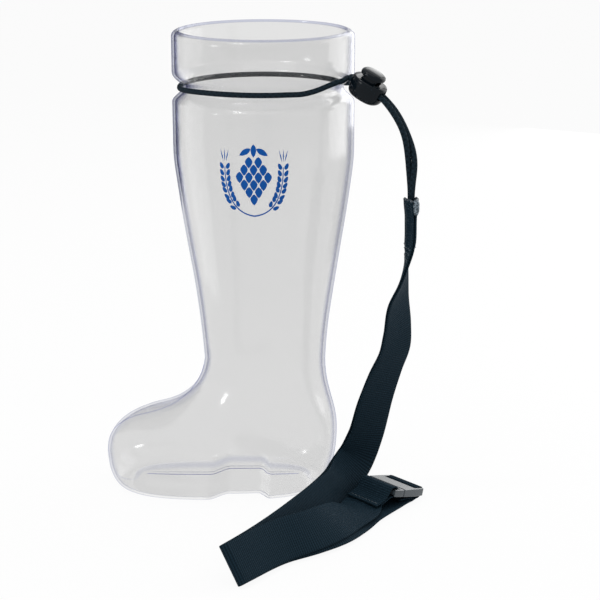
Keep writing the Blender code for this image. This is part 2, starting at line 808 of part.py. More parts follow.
def plug_loop():
    """Places along and above the clip: in from the floor, round the plug's bar and back to a sewn end."""
    way_in = [(-0.0120, -0.0088), (-0.0070, -0.0058), (-0.0030, -0.0033)]
    turn = [
        (0.5, -1.05), (1.05, -0.8), (1.3, 0.0), (1.3, 0.8), (0.9, 1.5), (0.1, 1.75), (-0.9, 1.6),
        (-1.7, 0.9), (-2.1, -0.2),
    ]
    sewn_end = [(-0.0060, -0.0031), (-0.0085, -0.0050), (-0.0120, -0.0071), (-0.0148, -0.0081)]
    return way_in + [(a * BAR_WIDE, b * BAR_HIGH) for a, b in turn] + sewn_end


def socket_loop():
    """The same at the socket: under it, round its far bar and back to a sewn end below."""
    bar = BAR_SIZE + PLUG_SLOT + PLUG_SHOULDER + CLEARANCE + SOCKET_BODY + SOCKET_SLOT
    turn = [
        (0.8, -1.3), (1.25, -0.3), (1.2, 0.5), (0.8, 1.15), (-0.2, 1.35), (-1.15, 0.8), (-1.5, -0.6),
    ]
    sewn_end = [(-0.0050, -0.0036), (-0.0110, -0.0045), (-0.0170, -0.0053)]
    places = [(-0.0040, -0.0052)] + [(a * BAR_WIDE, b * BAR_HIGH) for a, b in turn] + sewn_end
    return [(bar + along, above) for along, above in places]


def loop_stations(frame, places):
    """Stations in the clip's own lengthwise plane, across its bars."""
    side = -(frame.to_3x3() @ Vector((0, 1, 0)))
    return [(frame @ Vector((s, 0, n)), side) for s, n in places]


def ribbon(stations):
    """A closed ribbon of the webbing's width and thickness through the stations.

    Both faces are split along the same diagonals, so that they stay a thickness apart in a twist.
    """
    shape = bmesh.new()
    rings = []
    for place, side, face in square_up(stations):
        half = STRAP_WIDTH / 2 * side
        thick = STRAP_THICKNESS / 2 * face
        rings.append(add_ring(shape, [
            place - half - thick, place - thick, place + half - thick,
            place + half + thick, place + thick, place - half + thick,
        ]))
    for lower, upper in zip(rings, rings[1:]):
        for i in (0, 1):
            shape.faces.new((lower[i], lower[i + 1], upper[i + 1]))
            shape.faces.new((lower[i], upper[i + 1], upper[i]))
        for i in (3, 4):
            shape.faces.new((lower[i], lower[i + 1], upper[i]))
            shape.faces.new((lower[i + 1], upper[i + 1], upper[i]))
        for i, j in ((2, 3), (5, 0)):
            shape.faces.new((lower[i], lower[j], upper[j], upper[i]))
    for ring in (rings[0], rings[-1]):
        bmesh.ops.contextual_create(shape, geom=ring)
    length = sum((b[0] - a[0]).length for a, b in zip(stations, stations[1:]))
    print(f"webbing length {length:.3f} m, {len(rings)} rings")
    return shape


def make_straps(frame):
    pair = fill_in(hanging_stations() + listed_stations(WALL_BACK))
    gaps = pair_gaps(pair)
    near_layer = moved(pair, gaps)
    far_layer = moved(pair, [-gap for gap in gaps])
    end, end_side, end_face = square_up(pair)[-1]
    ahead = end - pair[-2][0]
    under_end = (end + (LAYER / 2 + FOLD_SPREAD) * end_face, end_side)
    front_end = (under_end[0] + LAYER * end_face, end_side)
    under = [under_end] + listed_stations(WALL_FRONT)

    # Plug side: down the back, round the outer fold, along the front and round the plug's bar
    top_layer = [
        (place - lift * face - shift * side, side)
        for (place, side, face), (lift, shift) in zip(square_up(under)[1:], TOP_LAYER)
    ]
    front = fill_in([front_end] + top_layer + loop_stations(frame, plug_loop()))
    outer = fold(far_layer[-1], front_end, ahead)
    webbing = webbing_material("plug_side_webbing")
    add_mesh("strap_plug_side", ribbon(far_layer + outer + front), webbing)

    # Socket side: down the front of the pair, round the inner fold and under the clip to its far bar
    lower = fill_in(under + loop_stations(frame, socket_loop()))
    inner = fold(near_layer[-1], under_end, ahead)
    webbing = webbing_material("socket_side_webbing")
    add_mesh("strap_socket_side", ribbon(near_layer + inner + lower), webbing)


# Clip, in its own frame: X from the plug's bar to the socket's bar, Z up

def block(x0, x1, width, height):
    shape = bmesh.new()
    bmesh.ops.create_cube(shape, size=1)
    bmesh.ops.scale(shape, vec=(x1 - x0, width, height), verts=shape.verts)
    bmesh.ops.translate(shape, vec=((x0 + x1) / 2, 0, 0), verts=shape.verts)
    return shape


def frame_block(outline, height):
    """A block that narrows along X: its outline is (x, width) from one end to the other."""
    corners = ((-1, -1), (1, -1), (1, 1), (-1, 1))
    return loft([[Vector((x, a * width / 2, b * height / 2)) for a, b in corners] for x, width in outline])


def soften(piece, width, segments=2):
    bevel = piece.modifiers.new("edge", "BEVEL")
    bevel.width = width
    bevel.segments = segments
    bevel.limit_method = "ANGLE"


def thin_bar(piece, holder, x0, x1, height):
    """Cuts the strap's bar of a clip half down to its own height, from above and below."""
    depth = (height - BAR_HEIGHT) / 2 + CUT_PAST
    for name, side in (("above", 1), ("below", -1)):
        shave = block(x0, x1, SLOT_WIDTH, depth)
        bmesh.ops.translate(shave, vec=(0, 0, side * (BAR_HEIGHT + depth) / 2), verts=shave.verts)
        cut(piece, add_cutter(f"{piece.name}_{name}_bar_cutter", shave, holder))


def make_clip(frame):
    holder = add_empty("clip_holder", frame)
    bar_end = BAR_SIZE / 2
    plug_face = bar_end + PLUG_SLOT + PLUG_SHOULDER
    tongue_end = plug_face + TONGUE_LENGTH
    mouth = plug_face + CLEARANCE
    socket_back = mouth + SOCKET_BODY
    socket_end = socket_back + SOCKET_SLOT + BAR_SIZE

    outline = [(-bar_end, CLIP_END_WIDTH), (bar_end + PLUG_SLOT / 2, CLIP_WIDTH), (plug_face, CLIP_WIDTH)]
    shape = frame_block(outline, PLUG_HEIGHT)
    plug = add_mesh("clip_plug", shape, clip_material("clip_plug_plastic"), holder)
    tongue = add_cutter("clip_tongue_union", block(plug_face - CUT_PAST / 2, tongue_end, TONGUE_WIDTH,
                                                   TONGUE_HEIGHT), holder)
    joined = plug.modifiers.new("tongue", "BOOLEAN")
    joined.operation = "UNION"
    joined.solver = "EXACT"
    joined.object = tongue
    slot = block(bar_end, bar_end + PLUG_SLOT, SLOT_WIDTH, 2 * SOCKET_HEIGHT)
    cut(plug, add_cutter("clip_plug_slot_cutter", slot, holder))
    thin_bar(plug, holder, -BAR_SIZE, bar_end + PLUG_SLOT / 2, PLUG_HEIGHT)
    soften(plug, CLIP_EDGE)

    outline = [(mouth, CLIP_WIDTH), (socket_back, CLIP_WIDTH), (socket_end, CLIP_END_WIDTH)]
    shape = frame_block(outline, SOCKET_HEIGHT)
    socket = add_mesh("clip_socket", shape, clip_material("clip_socket_plastic"), holder)
    pocket = block(mouth - CUT_PAST, tongue_end + CLEARANCE, TONGUE_WIDTH + 2 * CLEARANCE,
                   TONGUE_HEIGHT + 2 * CLEARANCE)
    cut(socket, add_cutter("clip_pocket_cutter", pocket, holder))
    slot = block(socket_back, socket_back + SOCKET_SLOT, SLOT_WIDTH, 2 * SOCKET_HEIGHT)
    cut(socket, add_cutter("clip_socket_slot_cutter", slot, holder))
    thin_bar(socket, holder, socket_back + SOCKET_SLOT / 2, socket_end + BAR_SIZE, SOCKET_HEIGHT)
    soften(socket, CLIP_EDGE)


def main():
    clear_scene()
    make_boot_shell()
    make_neck_cord()
    pivot = add_empty("lock_arc_centre", lock_frame())
    make_lock_body(pivot)
    make_lock_plunger(pivot)
    make_lock_spring(pivot)
    make_straps(clip_frame())
    make_clip(clip_frame())
    bpy.context.view_layer.update()


main()
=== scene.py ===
"""Looks for a clear plastic beer boot and its neck lanyard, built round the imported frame."""

import json
import math
import random

import bmesh
import bpy
from bpy.props import FloatProperty, FloatVectorProperty, PointerProperty
from mathutils import Euler, Matrix, Vector, noise

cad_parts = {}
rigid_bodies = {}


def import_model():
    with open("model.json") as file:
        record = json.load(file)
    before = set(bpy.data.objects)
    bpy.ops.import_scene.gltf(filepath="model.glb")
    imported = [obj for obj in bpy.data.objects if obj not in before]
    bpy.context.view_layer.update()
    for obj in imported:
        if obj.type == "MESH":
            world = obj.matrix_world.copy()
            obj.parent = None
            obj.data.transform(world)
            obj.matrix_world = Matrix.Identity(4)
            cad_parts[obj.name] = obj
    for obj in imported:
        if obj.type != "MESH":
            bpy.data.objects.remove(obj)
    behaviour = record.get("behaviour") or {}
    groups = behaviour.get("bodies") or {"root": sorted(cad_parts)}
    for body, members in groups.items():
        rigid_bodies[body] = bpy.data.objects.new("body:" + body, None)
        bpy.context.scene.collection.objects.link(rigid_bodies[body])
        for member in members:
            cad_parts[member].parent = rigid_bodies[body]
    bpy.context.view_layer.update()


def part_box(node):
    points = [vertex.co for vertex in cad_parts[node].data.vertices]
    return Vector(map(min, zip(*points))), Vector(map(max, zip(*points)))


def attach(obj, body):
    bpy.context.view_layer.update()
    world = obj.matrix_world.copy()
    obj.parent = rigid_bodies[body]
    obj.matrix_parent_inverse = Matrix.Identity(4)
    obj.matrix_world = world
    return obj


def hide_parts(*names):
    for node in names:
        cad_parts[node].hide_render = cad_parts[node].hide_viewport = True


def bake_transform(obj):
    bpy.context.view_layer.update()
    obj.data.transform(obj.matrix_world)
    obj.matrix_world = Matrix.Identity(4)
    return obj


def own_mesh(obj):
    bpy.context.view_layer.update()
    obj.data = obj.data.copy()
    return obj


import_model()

bl_info = {
    "name": "Beer boot",
    "version": (1, 0, 0),
    "blender": (4, 5, 0),
    "location": "View3D > Sidebar > Beer boot",
    "description": "Clear drinking boot with a cord, cord lock, webbing straps and clip",
    "category": "Object",
}

SHELL_LOW, SHELL_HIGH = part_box("boot_shell")

# Boot, side view: heights above the floor and reaches from the axis of the leg
BOOT_HEIGHT = SHELL_HIGH.z
RIM_RADIUS = SHELL_HIGH.y
LEG_X = SHELL_HIGH.x - RIM_RADIUS
TOE_REACH = LEG_X - SHELL_LOW.x
BAND_HEIGHT = 0.0345
GROOVE_DEPTH = 0.0067
GROOVE_HALF_WIDTH = 0.009
FOOT_BLOWN = (0.015, 0.110)
# Heights over which the wall thins from the rim down
LEG_BLOWN = (0.05, 0.25)
INSTEP_RIDGE = (0.036, 0.080)
SHOULDER_DROP = 0.069
CALF_DROP = 0.100
CALF_RADIUS = 0.0521
ANKLE_HEIGHT = 0.083
ANKLE_RADIUS = 0.0378
TOE_TIP_HEIGHT = 0.023
TOE_TOP_REACH = 0.0765
TOE_TOP_HEIGHT = 0.0455
HEEL_REACH = 0.0457
HEEL_BULGE_HEIGHT = 0.037
FOOT_WIDTH = 0.082
BALL_SETBACK = 0.030

# Sole: rest pads, the hollow between them, the arch and the pinched seam
SOLE_ROUND = 0.012
SOLE_SIDE_ROUND = 0.0075
PAD_WIDTH = 0.0035
PUSH_UP = 0.0042
ARCH_HEIGHT = 0.0042
ARCH_FADE = 0.024
ARCH_FRONT = (-0.036, -0.022)
ARCH_BACK = (-0.003, 0.0025)
SEAM_HALF_WIDTH = 0.0007
SEAM_FOOT = 0.0011
SEAM_DEPTH = 0.0009
SEAM_END = 0.012

# Cord, and where it leaves the neck
CLEARANCE = 0.0003
NECK_CLEARANCE = 0.0007
FRONT_RISE = 0.0030
LOCK_BEARING = math.radians(31)
LOCK_STANDOFF = 0.0175
LOCK_RISE = 0.0058
ARC_RADIUS = 0.052
LOCK_DIP = math.radians(26)
PAIR_GAP = 0.0004
TWIST_START = math.radians(61)
TAIL_DROP = 0.0165
TAIL_SEWN = 0.026
JOIN_BEARING = math.radians(97)
CORD_DIAMETER = 0.0032
# Past the lock the braid is no longer pinched, so the tails are a little fatter
TAIL_SWELL = 0.00017
TAIL_SWELLS_OVER = 0.012
TAIL_LENGTH = 0.0897

# Cord lock, about the crossing of its bore and plunger
LOCK_LENGTH = 0.022
LOCK_WIDTH = 0.0165
LOCK_BELOW = 0.0085
LOCK_ABOVE = 0.0038
LOCK_FLOOR = 0.0010
PLUNGER_TRAVEL = 0.0020
STEM_LENGTH = 0.0100
STEM_WALL = 0.0014
STEM_FOOT = 0.0011
CAP_LENGTH = 0.0150
CAP_WIDTH = 0.0128
CAP_THICKNESS = 0.0032
FIT = 0.0003
SPRING_RADIUS = 0.0034
SPRING_WIRE = 0.0004
SPRING_TURNS = 3

# Webbing
STRAP_WIDTH = 0.025
STRAP_THICKNESS = 0.0009
LAYER_GAP = 0.0004
FOLD_SPREAD = 0.0027
TURN_SPREAD = 0.0009
TURN_LENGTH = 0.050

# Clip
CLIP_PLACE = (0.0716, -0.0416, 0.0120)
CLIP_HEADING = math.radians(46)
CLIP_DIP = math.radians(14.5)
CLIP_ROLL = math.radians(2)
CLIP_WIDTH = 0.030
CLIP_END_WIDTH = 0.0286
BAR_SIZE = 0.003
BAR_HEIGHT = 0.0026
PLUG_SLOT = 0.0028
PLUG_HEIGHT = 0.0046
PLUG_SHOULDER = 0.0022
TONGUE_LENGTH = 0.0095
TONGUE_WIDTH = 0.0200
TONGUE_HEIGHT = 0.0022
SOCKET_HEIGHT = 0.0050
SOCKET_BODY = 0.0120
SOCKET_SLOT = 0.0046

# How fine the meshes are
SHELL_SIDES = 120
CORD_SIDES = 14
CORD_SPACING = 0.0025
STRAP_SPACING = 0.0025
LOCK_SIDES = 64
CUT_PAST = 0.002

# Camera: the photograph's viewpoint
CAMERA_PLACE = (0.0452, -1.003, 0.4113)
CAMERA_TILT = math.radians(16.15)
CAMERA_LENS = 99.78
CAMERA_SENSOR = 36.0

GROOVE_HEIGHT = BOOT_HEIGHT - BAND_HEIGHT
SHOULDER_HEIGHT = BOOT_HEIGHT - SHOULDER_DROP
CALF_HEIGHT = BOOT_HEIGHT - CALF_DROP
CORD_RADIUS = CORD_DIAMETER / 2
PAIR_HALF = (CORD_DIAMETER + PAIR_GAP) / 2
LAYER = STRAP_THICKNESS + LAYER_GAP
SLOT_WIDTH = STRAP_WIDTH + 4 * CLEARANCE
TWIST_END = JOIN_BEARING - math.pi

UP = Vector((0, 0, 1))
OUT = Vector((math.cos(LOCK_BEARING), -math.sin(LOCK_BEARING), 0))
ACROSS = Vector((math.sin(LOCK_BEARING), math.cos(LOCK_BEARING), 0))
LEG = Vector((LEG_X, 0, 0))


def linear(hex_colour):
    """Linear red, green and blue of an sRGB colour such as 1f2730."""
    made = []
    for i in (0, 2, 4):
        part = int(hex_colour[i:i + 2], 16) / 255
        made.append(part / 12.92 if part <= 0.04045 else ((part + 0.055) / 1.055) ** 2.4)
    return tuple(made)


class ShellSettings(bpy.types.PropertyGroup):
    wall: FloatProperty(name="Wall", description="Thickness of the boot's wall", default=0.0015, unit="LENGTH")
    lip: FloatProperty(name="Lip", description="Radius of the rim's round lip", default=0.0042, unit="LENGTH")
    parting: FloatProperty(name="Parting line", description="Height of the mould's parting line",
                           default=0.00028, unit="LENGTH")
    wave: FloatProperty(name="Waviness", description="How far the wall wanders from its true form",
                        default=0.00016, unit="LENGTH")
    tint: FloatVectorProperty(name="Tint", description="Colour of light that has passed one face of the wall",
                              default=linear("f3f3f3"), subtype="COLOR")
    blown_tint: FloatVectorProperty(name="Blown tint", description="The same where the foot is blown thin",
                                    default=linear("f5f5f5"), subtype="COLOR")
    edge_tint: FloatVectorProperty(name="Edge tint", description="The same at the inner face, seen edge on",
                                   default=linear("a8abc4"), subtype="COLOR")
    skin_tint: FloatVectorProperty(name="Skin tint", description="The same at the outer face, seen edge on",
                                   default=linear("ccced8"), subtype="COLOR")
    foot_tint: FloatVectorProperty(name="Foot tint", description="The same where the foot is blown thin, edge on",
                                   default=linear("e6e7ed"), subtype="COLOR")
    seam_tint: FloatVectorProperty(name="Seam tint", description="The same at the mould's parting line",
                                   default=linear("d4d7e6"), subtype="COLOR")
    pinch_tint: FloatVectorProperty(name="Pinch tint", description="The same where the mould pinched the sole",
                                    default=linear("a0a6d4"), subtype="COLOR")
    print_colour: FloatVectorProperty(name="Print", description="Ink of the print on the leg",
                                      default=linear("0052a4"), subtype="COLOR")
    print_height: FloatProperty(name="Print height", description="Height of the printed wreath",
                                default=0.046, unit="LENGTH")


class CordSettings(bpy.types.PropertyGroup):
    colour: FloatVectorProperty(name="Colour", description="Yarn of the neck cord",
                                default=linear("17232b"), subtype="COLOR")
    plait: FloatProperty(name="Plait", description="Length of one crossing of the braid",
                         default=0.0026, unit="LENGTH")


class StrapSettings(bpy.types.PropertyGroup):
    colour: FloatVectorProperty(name="Colour", description="Yarn of the webbing",
                                default=linear("162630"), subtype="COLOR")
    rib: FloatProperty(name="Rib", description="Spacing of the ribs across the webbing",
                       default=0.0015, unit="LENGTH")
    thread: FloatVectorProperty(name="Thread", description="Sewing thread",
                                default=linear("3c4850"), subtype="COLOR")
    melted: FloatVectorProperty(name="Melted ends", description="Heat-cut ends of the webbing",
                                default=linear("84939d"), subtype="COLOR")


class HardwareSettings(bpy.types.PropertyGroup):
    lock_colour: FloatVectorProperty(name="Lock", description="Plastic of the cord lock",
                                     default=linear("0b1319"), subtype="COLOR")
    clip_colour: FloatVectorProperty(name="Clip", description="Plastic of the clip",
                                     default=linear("3e464b"), subtype="COLOR")
    edge: FloatProperty(name="Edge", description="Rounding of the moulded edges",
                        default=0.0007, unit="LENGTH")


class StageSettings(bpy.types.PropertyGroup):
    floor: FloatVectorProperty(name="Floor", description="Colour of the studio floor",
                               default=(0.9, 0.9, 0.9), subtype="COLOR")
    soft_box: FloatProperty(name="Soft box", description="Power of the overhead soft box",
                            default=5.0, unit="POWER")
    panel: FloatProperty(name="Side panel", description="Power of the panel on the right",
                         default=5.0, unit="POWER")
    edge_light: FloatProperty(name="Edge light", description="Power of the panel behind on the right",
                              default=4.2, unit="POWER")
    top_light: FloatProperty(name="Top light", description="Power of the small light high on the left",
                             default=1.8, unit="POWER")
    key: FloatProperty(name="Key light", description="Power of the small light in front on the left",
                       default=1.2, unit="POWER")


# Curves

def smooth(t):
    t = min(1.0, max(0.0, t))
    return t * t * (3 - 2 * t)


def bezier(a, b, c, d, t):
    s = 1 - t
    return [
        s * s * s * p + 3 * s * s * t * q + 3 * s * t * t * r + t * t * t * v
        for p, q, r, v in zip(a, b, c, d)
    ]


def reach_at(curves, height, steps=60):
    """The first number of the point at a height on a chain of curves that climb steadily."""
    last = None
    for curve in curves:
        for step in range(steps + 1):
            point = bezier(*curve, step / steps)
            if last is not None and point[1] >= height:
                share = (height - last[1]) / max(point[1] - last[1], 1e-9)
                return last[0] + share * (point[0] - last[0])
            last = point
    return last[0]


def spline(points, spacing):
    """Points about spacing apart on a smooth curve through places that may lie unevenly."""
    gaps = [(Vector(q[:3]) - Vector(p[:3])).length for p, q in zip(points, points[1:])]
    slopes = [(q - p) / gap for p, q, gap in zip(points, points[1:], gaps)]
    bends = [slopes[0]]
    for before, after, gap, next_gap in zip(slopes, slopes[1:], gaps, gaps[1:]):
        bends.append((before * next_gap + after * gap) / (gap + next_gap))
    bends.append(slopes[-1])
    made = [points[0].copy()]
    for i, gap in enumerate(gaps):
        steps = max(1, round(gap / spacing))
        for k in range(1, steps + 1):
            t = k / steps
            keep = 2 * t * t * t - 3 * t * t + 1
            leave = t * t * t - 2 * t * t + t
            arrive = t * t * t - t * t
            made.append(keep * points[i] + (1 - keep) * points[i + 1]
                        + gap * (leave * bends[i] + arrive * bends[i + 1]))
    return made


def lengths_along(points):
    """How far along the line each of its points lies."""
    made = [0.0]
    for a, b in zip(points, points[1:]):
        made.append(made[-1] + (b - a).length)
    return made


def even_turns(sides):
    return [2 * math.pi * i / sides for i in range(sides)]


def egg(front, back, half, power, turns):
    """Outline round (0, 0) with unlike ends: its points at each of the turns from +X."""
    made = []
    for turn in turns:
        x = math.cos(turn)
        y = math.sin(turn)
        length = back if x >= 0 else front
        reach = (abs(x / length) ** power + abs(y / half) ** power) ** (-1 / power)
        made.append((reach * x, reach * y))
    return made


# Meshes

def loft(rings_of_points, caps=True):
    """A mesh through rings of points, and its rings: the first is extruded and moved to each next."""
    shape = bmesh.new()
    first = rings_of_points[0]
    ring = bmesh.ops.create_circle(shape, cap_ends=False, segments=len(first), radius=1)["verts"]
    for vert, point in zip(ring, first):
        vert.co = point
    edges = shape.edges[:]
    rings = [ring]
    for points in rings_of_points[1:]:
        made = bmesh.ops.extrude_edge_only(shape, edges=edges)["geom"]
        fresh = {item for item in made if isinstance(item, bmesh.types.BMVert)}
        edges = [item for item in made
                 if isinstance(item, bmesh.types.BMEdge) and fresh.issuperset(item.verts)]
        ring = [next(e.other_vert(v) for e in v.link_edges if e.other_vert(v) in fresh) for v in ring]
        for vert, point in zip(ring, points):
            vert.co = point
        rings.append(ring)
    if caps:
        for end in (set(rings[0]), set(rings[-1])):
            bmesh.ops.contextual_create(shape, geom=[edge for edge in shape.edges if end.issuperset(edge.verts)])
    return shape, rings


def lay_uv(shape, rings, across, along, girth=None):
    """A UV map in metres: across from each ring's columns, along from the rings themselves."""
    layer = shape.loops.layers.uv.new("UVMap")
    spots = {vert: (column, row) for row, ring in enumerate(rings) for column, vert in enumerate(ring)}
    for face in shape.faces:
        columns = [spots[loop.vert][0] for loop in face.loops]
        wraps = girth is not None and max(columns) - min(columns) > 1
        for loop in face.loops:
            column, row = spots[loop.vert]
            u = girth if wraps and column == 0 else across[column]
            loop[layer].uv = (u, along[row])


def block(x0, x1, width, height, rise=0.0):
    shape = bmesh.new()
    bmesh.ops.create_cube(shape, size=1)
    bmesh.ops.scale(shape, vec=(x1 - x0, width, height), verts=shape.verts)
    bmesh.ops.translate(shape, vec=((x0 + x1) / 2, 0, rise), verts=shape.verts)
    return shape


def joined(shapes):
    """One shape that holds several."""
    whole = bmesh.new()
    for shape in shapes:
        mesh = bpy.data.meshes.new("joined")
        shape.to_mesh(mesh)
        shape.free()
        whole.from_mesh(mesh)
        bpy.data.meshes.remove(mesh)
    return whole


def add_piece(name, shape, material, smooth_angle=40):
    """An object at the origin that holds the shape."""
    bmesh.ops.recalc_face_normals(shape, faces=shape.faces)
    mesh = bpy.data.meshes.new(name)
    shape.to_mesh(mesh)
    shape.free()
    mesh.shade_smooth()
    mesh.set_sharp_from_angle(angle=math.radians(smooth_angle))
    mesh.materials.append(material)
    piece = bpy.data.objects.new(name, mesh)
    bpy.context.scene.collection.objects.link(piece)
    return piece


def carve(piece, cutters, operation="DIFFERENCE"):
    """Cuts shapes from a piece, or joins them to it, and keeps the result as its mesh.

    It is done in the piece's own frame, before the piece is turned into place, so that flat faces stay exactly flat.
    """
    helpers = []
    for i, cutter in enumerate(cutters):
        helper = add_piece(f"{piece.name}_cutter_{i}", cutter, piece.data.materials[0])
        modifier = piece.modifiers.new(helper.name, "BOOLEAN")
        modifier.operation = operation
        modifier.solver = "EXACT"
        modifier.object = helper
        helpers.append(helper)
    bpy.context.view_layer.update()
    graph = bpy.context.evaluated_depsgraph_get()
    done = bpy.data.meshes.new_from_object(piece.evaluated_get(graph))
    piece.modifiers.clear()
    piece.data = done
    for helper in helpers:
        bpy.data.objects.remove(helper, do_unlink=True)
    if not done.polygons:
        raise RuntimeError(f"nothing is left of {piece.name}")
    return piece


def round_edges(piece, width, segments=3):
    bevel = piece.modifiers.new("moulded_edges", "BEVEL")
    bevel.width = width
    bevel.segments = segments
    bevel.limit_method = "ANGLE"
    bevel.angle_limit = math.radians(40)
    bevel.harden_normals = True


def stands_for(piece, body, slot, *nodes):
    """The piece rides on the body and takes the place of the nodes, which are hidden; slot is not used."""
    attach(piece, body)
    if nodes:
        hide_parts(*nodes)
    return piece


# Materials

def add_node(tree, kind, settings=None, **links):
    """A node with its settings, where a key that names an input sets that input, and its links."""
    node = tree.nodes.new(kind)
    for key, value in (settings or {}).items():
        if key in node.inputs:
            node.inputs[key].default_value = value
        else:
            setattr(node, key, value)
    for key, source in links.items():
        tree.links.new(source, node.inputs[key.replace("_", " ")])
    return node


def new_material(name):
    """An empty material, its node tree, and its output's node."""
    made = bpy.data.materials.new(name)
    made.use_nodes = True
    made.node_tree.nodes.clear()
    return made, made.node_tree, made.node_tree.nodes.new("ShaderNodeOutputMaterial")


def clear_copolyester(name, tint, blown_tint, edge_tint, foot_tint):
    """Clear copolyester, blow moulded: see-through and glossy, smoky and blue-violet where a wall is seen edge on."""
    made, tree, output = new_material(name)
    place = add_node(tree, "ShaderNodeTexCoord")
    # The parison's flow leaves long shallow waves, about 40 mm apart
    wave = add_node(tree, "ShaderNodeTexNoise", {"Scale": 1 / 0.040, "Detail": 1.0}, Vector=place.outputs["Object"])
    bump = add_node(tree, "ShaderNodeBump", {"Strength": 0.06, "Distance": 0.002}, Height=wave.outputs["Fac"])
    # A wall seen edge on is a longer way through the plastic, and mirrors more
    slant = add_node(tree, "ShaderNodeLayerWeight", {"Blend": 0.5})
    depth = add_node(tree, "ShaderNodeMapRange", {
        "interpolation_type": "SMOOTHSTEP", "From Min": 0.62, "From Max": 0.92,
    }, Value=slant.outputs["Facing"])
    # The parison stretches most in the foot, so the wall there is thinner and its edge paler
    axes = add_node(tree, "ShaderNodeSeparateXYZ", Vector=place.outputs["Object"])
    stretch = add_node(tree, "ShaderNodeMapRange", {
        "interpolation_type": "SMOOTHSTEP", "From Min": FOOT_BLOWN[0], "From Max": FOOT_BLOWN[1],
    }, Value=axes.outputs["Z"])
    edge = add_node(tree, "ShaderNodeMix", {"data_type": "RGBA"})
    edge.inputs[6].default_value = (*foot_tint, 1)
    edge.inputs[7].default_value = (*edge_tint, 1)
    tree.links.new(stretch.outputs["Result"], edge.inputs["Factor"])
    # It thins all the way down from the rim, so the wall seen flat grows a little clearer
    thinned = add_node(tree, "ShaderNodeMapRange", {
        "From Min": LEG_BLOWN[0], "From Max": LEG_BLOWN[1],
    }, Value=axes.outputs["Z"])
    flat = add_node(tree, "ShaderNodeMix", {"data_type": "RGBA"}, Factor=thinned.outputs["Result"])
    flat.inputs[6].default_value = (*blown_tint, 1)
    flat.inputs[7].default_value = (*tint, 1)
    passed = add_node(tree, "ShaderNodeMix", {"data_type": "RGBA"})
    tree.links.new(flat.outputs[2], passed.inputs[6])
    tree.links.new(edge.outputs[2], passed.inputs[7])
    tree.links.new(depth.outputs["Result"], passed.inputs["Factor"])
    through = add_node(tree, "ShaderNodeBsdfTransparent", Color=passed.outputs[2])
    mirror = add_node(tree, "ShaderNodeBsdfGlossy", {"Color": (1, 1, 1, 1), "Roughness": 0.12},
                      Normal=bump.outputs["Normal"])
    steep = add_node(tree, "ShaderNodeMath", {"operation": "POWER"})
    tree.links.new(slant.outputs["Facing"], steep.inputs[0])
    steep.inputs[1].default_value = 4.0
    most = add_node(tree, "ShaderNodeMapRange", {"To Min": 0.12, "To Max": 0.5}, Value=stretch.outputs["Result"])
    share = add_node(tree, "ShaderNodeMapRange", {"To Min": 0.02}, Value=steep.outputs["Value"])
    tree.links.new(most.outputs["Result"], share.inputs["To Max"])
    mixed = add_node(tree, "ShaderNodeMixShader", Fac=share.outputs["Result"])
    tree.links.new(through.outputs["BSDF"], mixed.inputs[1])
    tree.links.new(mirror.outputs["BSDF"], mixed.inputs[2])
    tree.links.new(mixed.outputs["Shader"], output.inputs["Surface"])
    return made


def printed_ink(settings):
    """Screen-printed ink: opaque, even and a little glossy."""
    made, tree, output = new_material("screen_printed_ink")
    place = add_node(tree, "ShaderNodeTexCoord")
    # The mesh of the screen, drawn at 0.5 mm so that it can show
    mesh = add_node(tree, "ShaderNodeTexNoise", {"Scale": 1 / 0.0005}, Vector=place.outputs["Object"])
    rough = add_node(tree, "ShaderNodeMapRange", {"To Min": 0.32, "To Max": 0.45}, Value=mesh.outputs["Fac"])
    shader = add_node(tree, "ShaderNodeBsdfPrincipled", {
        "Base Color": (*settings.print_colour, 1), "Specular IOR Level": 0.15,
    }, Roughness=rough.outputs["Result"])
    tree.links.new(shader.outputs["BSDF"], output.inputs["Surface"])
    return made


def hollow_shade_tones(tree, colour, low, high, share):
    """The colour made darker and lighter by two factors, mixed by a pattern's share: painted shade where the pattern
    is low and painted highlight where it is high.
    """
    mixed = add_node(tree, "ShaderNodeMix", {"data_type": "RGBA"})
    mixed.inputs[6].default_value = (*(low * part for part in colour), 1)
    mixed.inputs[7].default_value = (*(high * part for part in colour), 1)
    tree.links.new(share, mixed.inputs["Factor"])
    return mixed.outputs[2]


def braided_polyester(settings):
    """Braided polyester cord: matt black yarns that cross in a fine herringbone, with painted shade between the
    strands and painted highlight on them.
    """
    made, tree, output = new_material("braided_polyester")
    place = add_node(tree, "ShaderNodeUVMap", {"uv_map": "UVMap"})
    over = add_node(tree, "ShaderNodeMath", {"operation": "MAXIMUM"})
    for i, turn in enumerate((1, -1)):
        turned = add_node(tree, "ShaderNodeMapping", {
            "Rotation": (0, 0, turn * math.radians(52)),
            "Scale": (1 / settings.plait, 1 / settings.plait, 1),
        }, Vector=place.outputs["UV"])
        # A wave texture of scale 1 repeats every pi / 10
        strand = add_node(tree, "ShaderNodeTexWave", {"Scale": math.pi / 10, "Distortion": 0.6},
                          Vector=turned.outputs["Vector"])
        tree.links.new(strand.outputs["Fac"], over.inputs[i])
    bump = add_node(tree, "ShaderNodeBump", {"Strength": 0.7, "Distance": 0.0004}, Height=over.outputs["Value"])
    shader = add_node(tree, "ShaderNodeBsdfPrincipled", {"Roughness": 0.8, "Specular IOR Level": 0.08},
                      Normal=bump.outputs["Normal"])
    # Painted shade and highlight: the yarn is darker in the braid's grooves and lighter on its strands, following the
    # bump's height
    tone = hollow_shade_tones(tree, settings.colour, 0.45, 1.25, over.outputs["Value"])
    tree.links.new(tone, shader.inputs["Base Color"])
    tree.links.new(shader.outputs["BSDF"], output.inputs["Surface"])
    return made


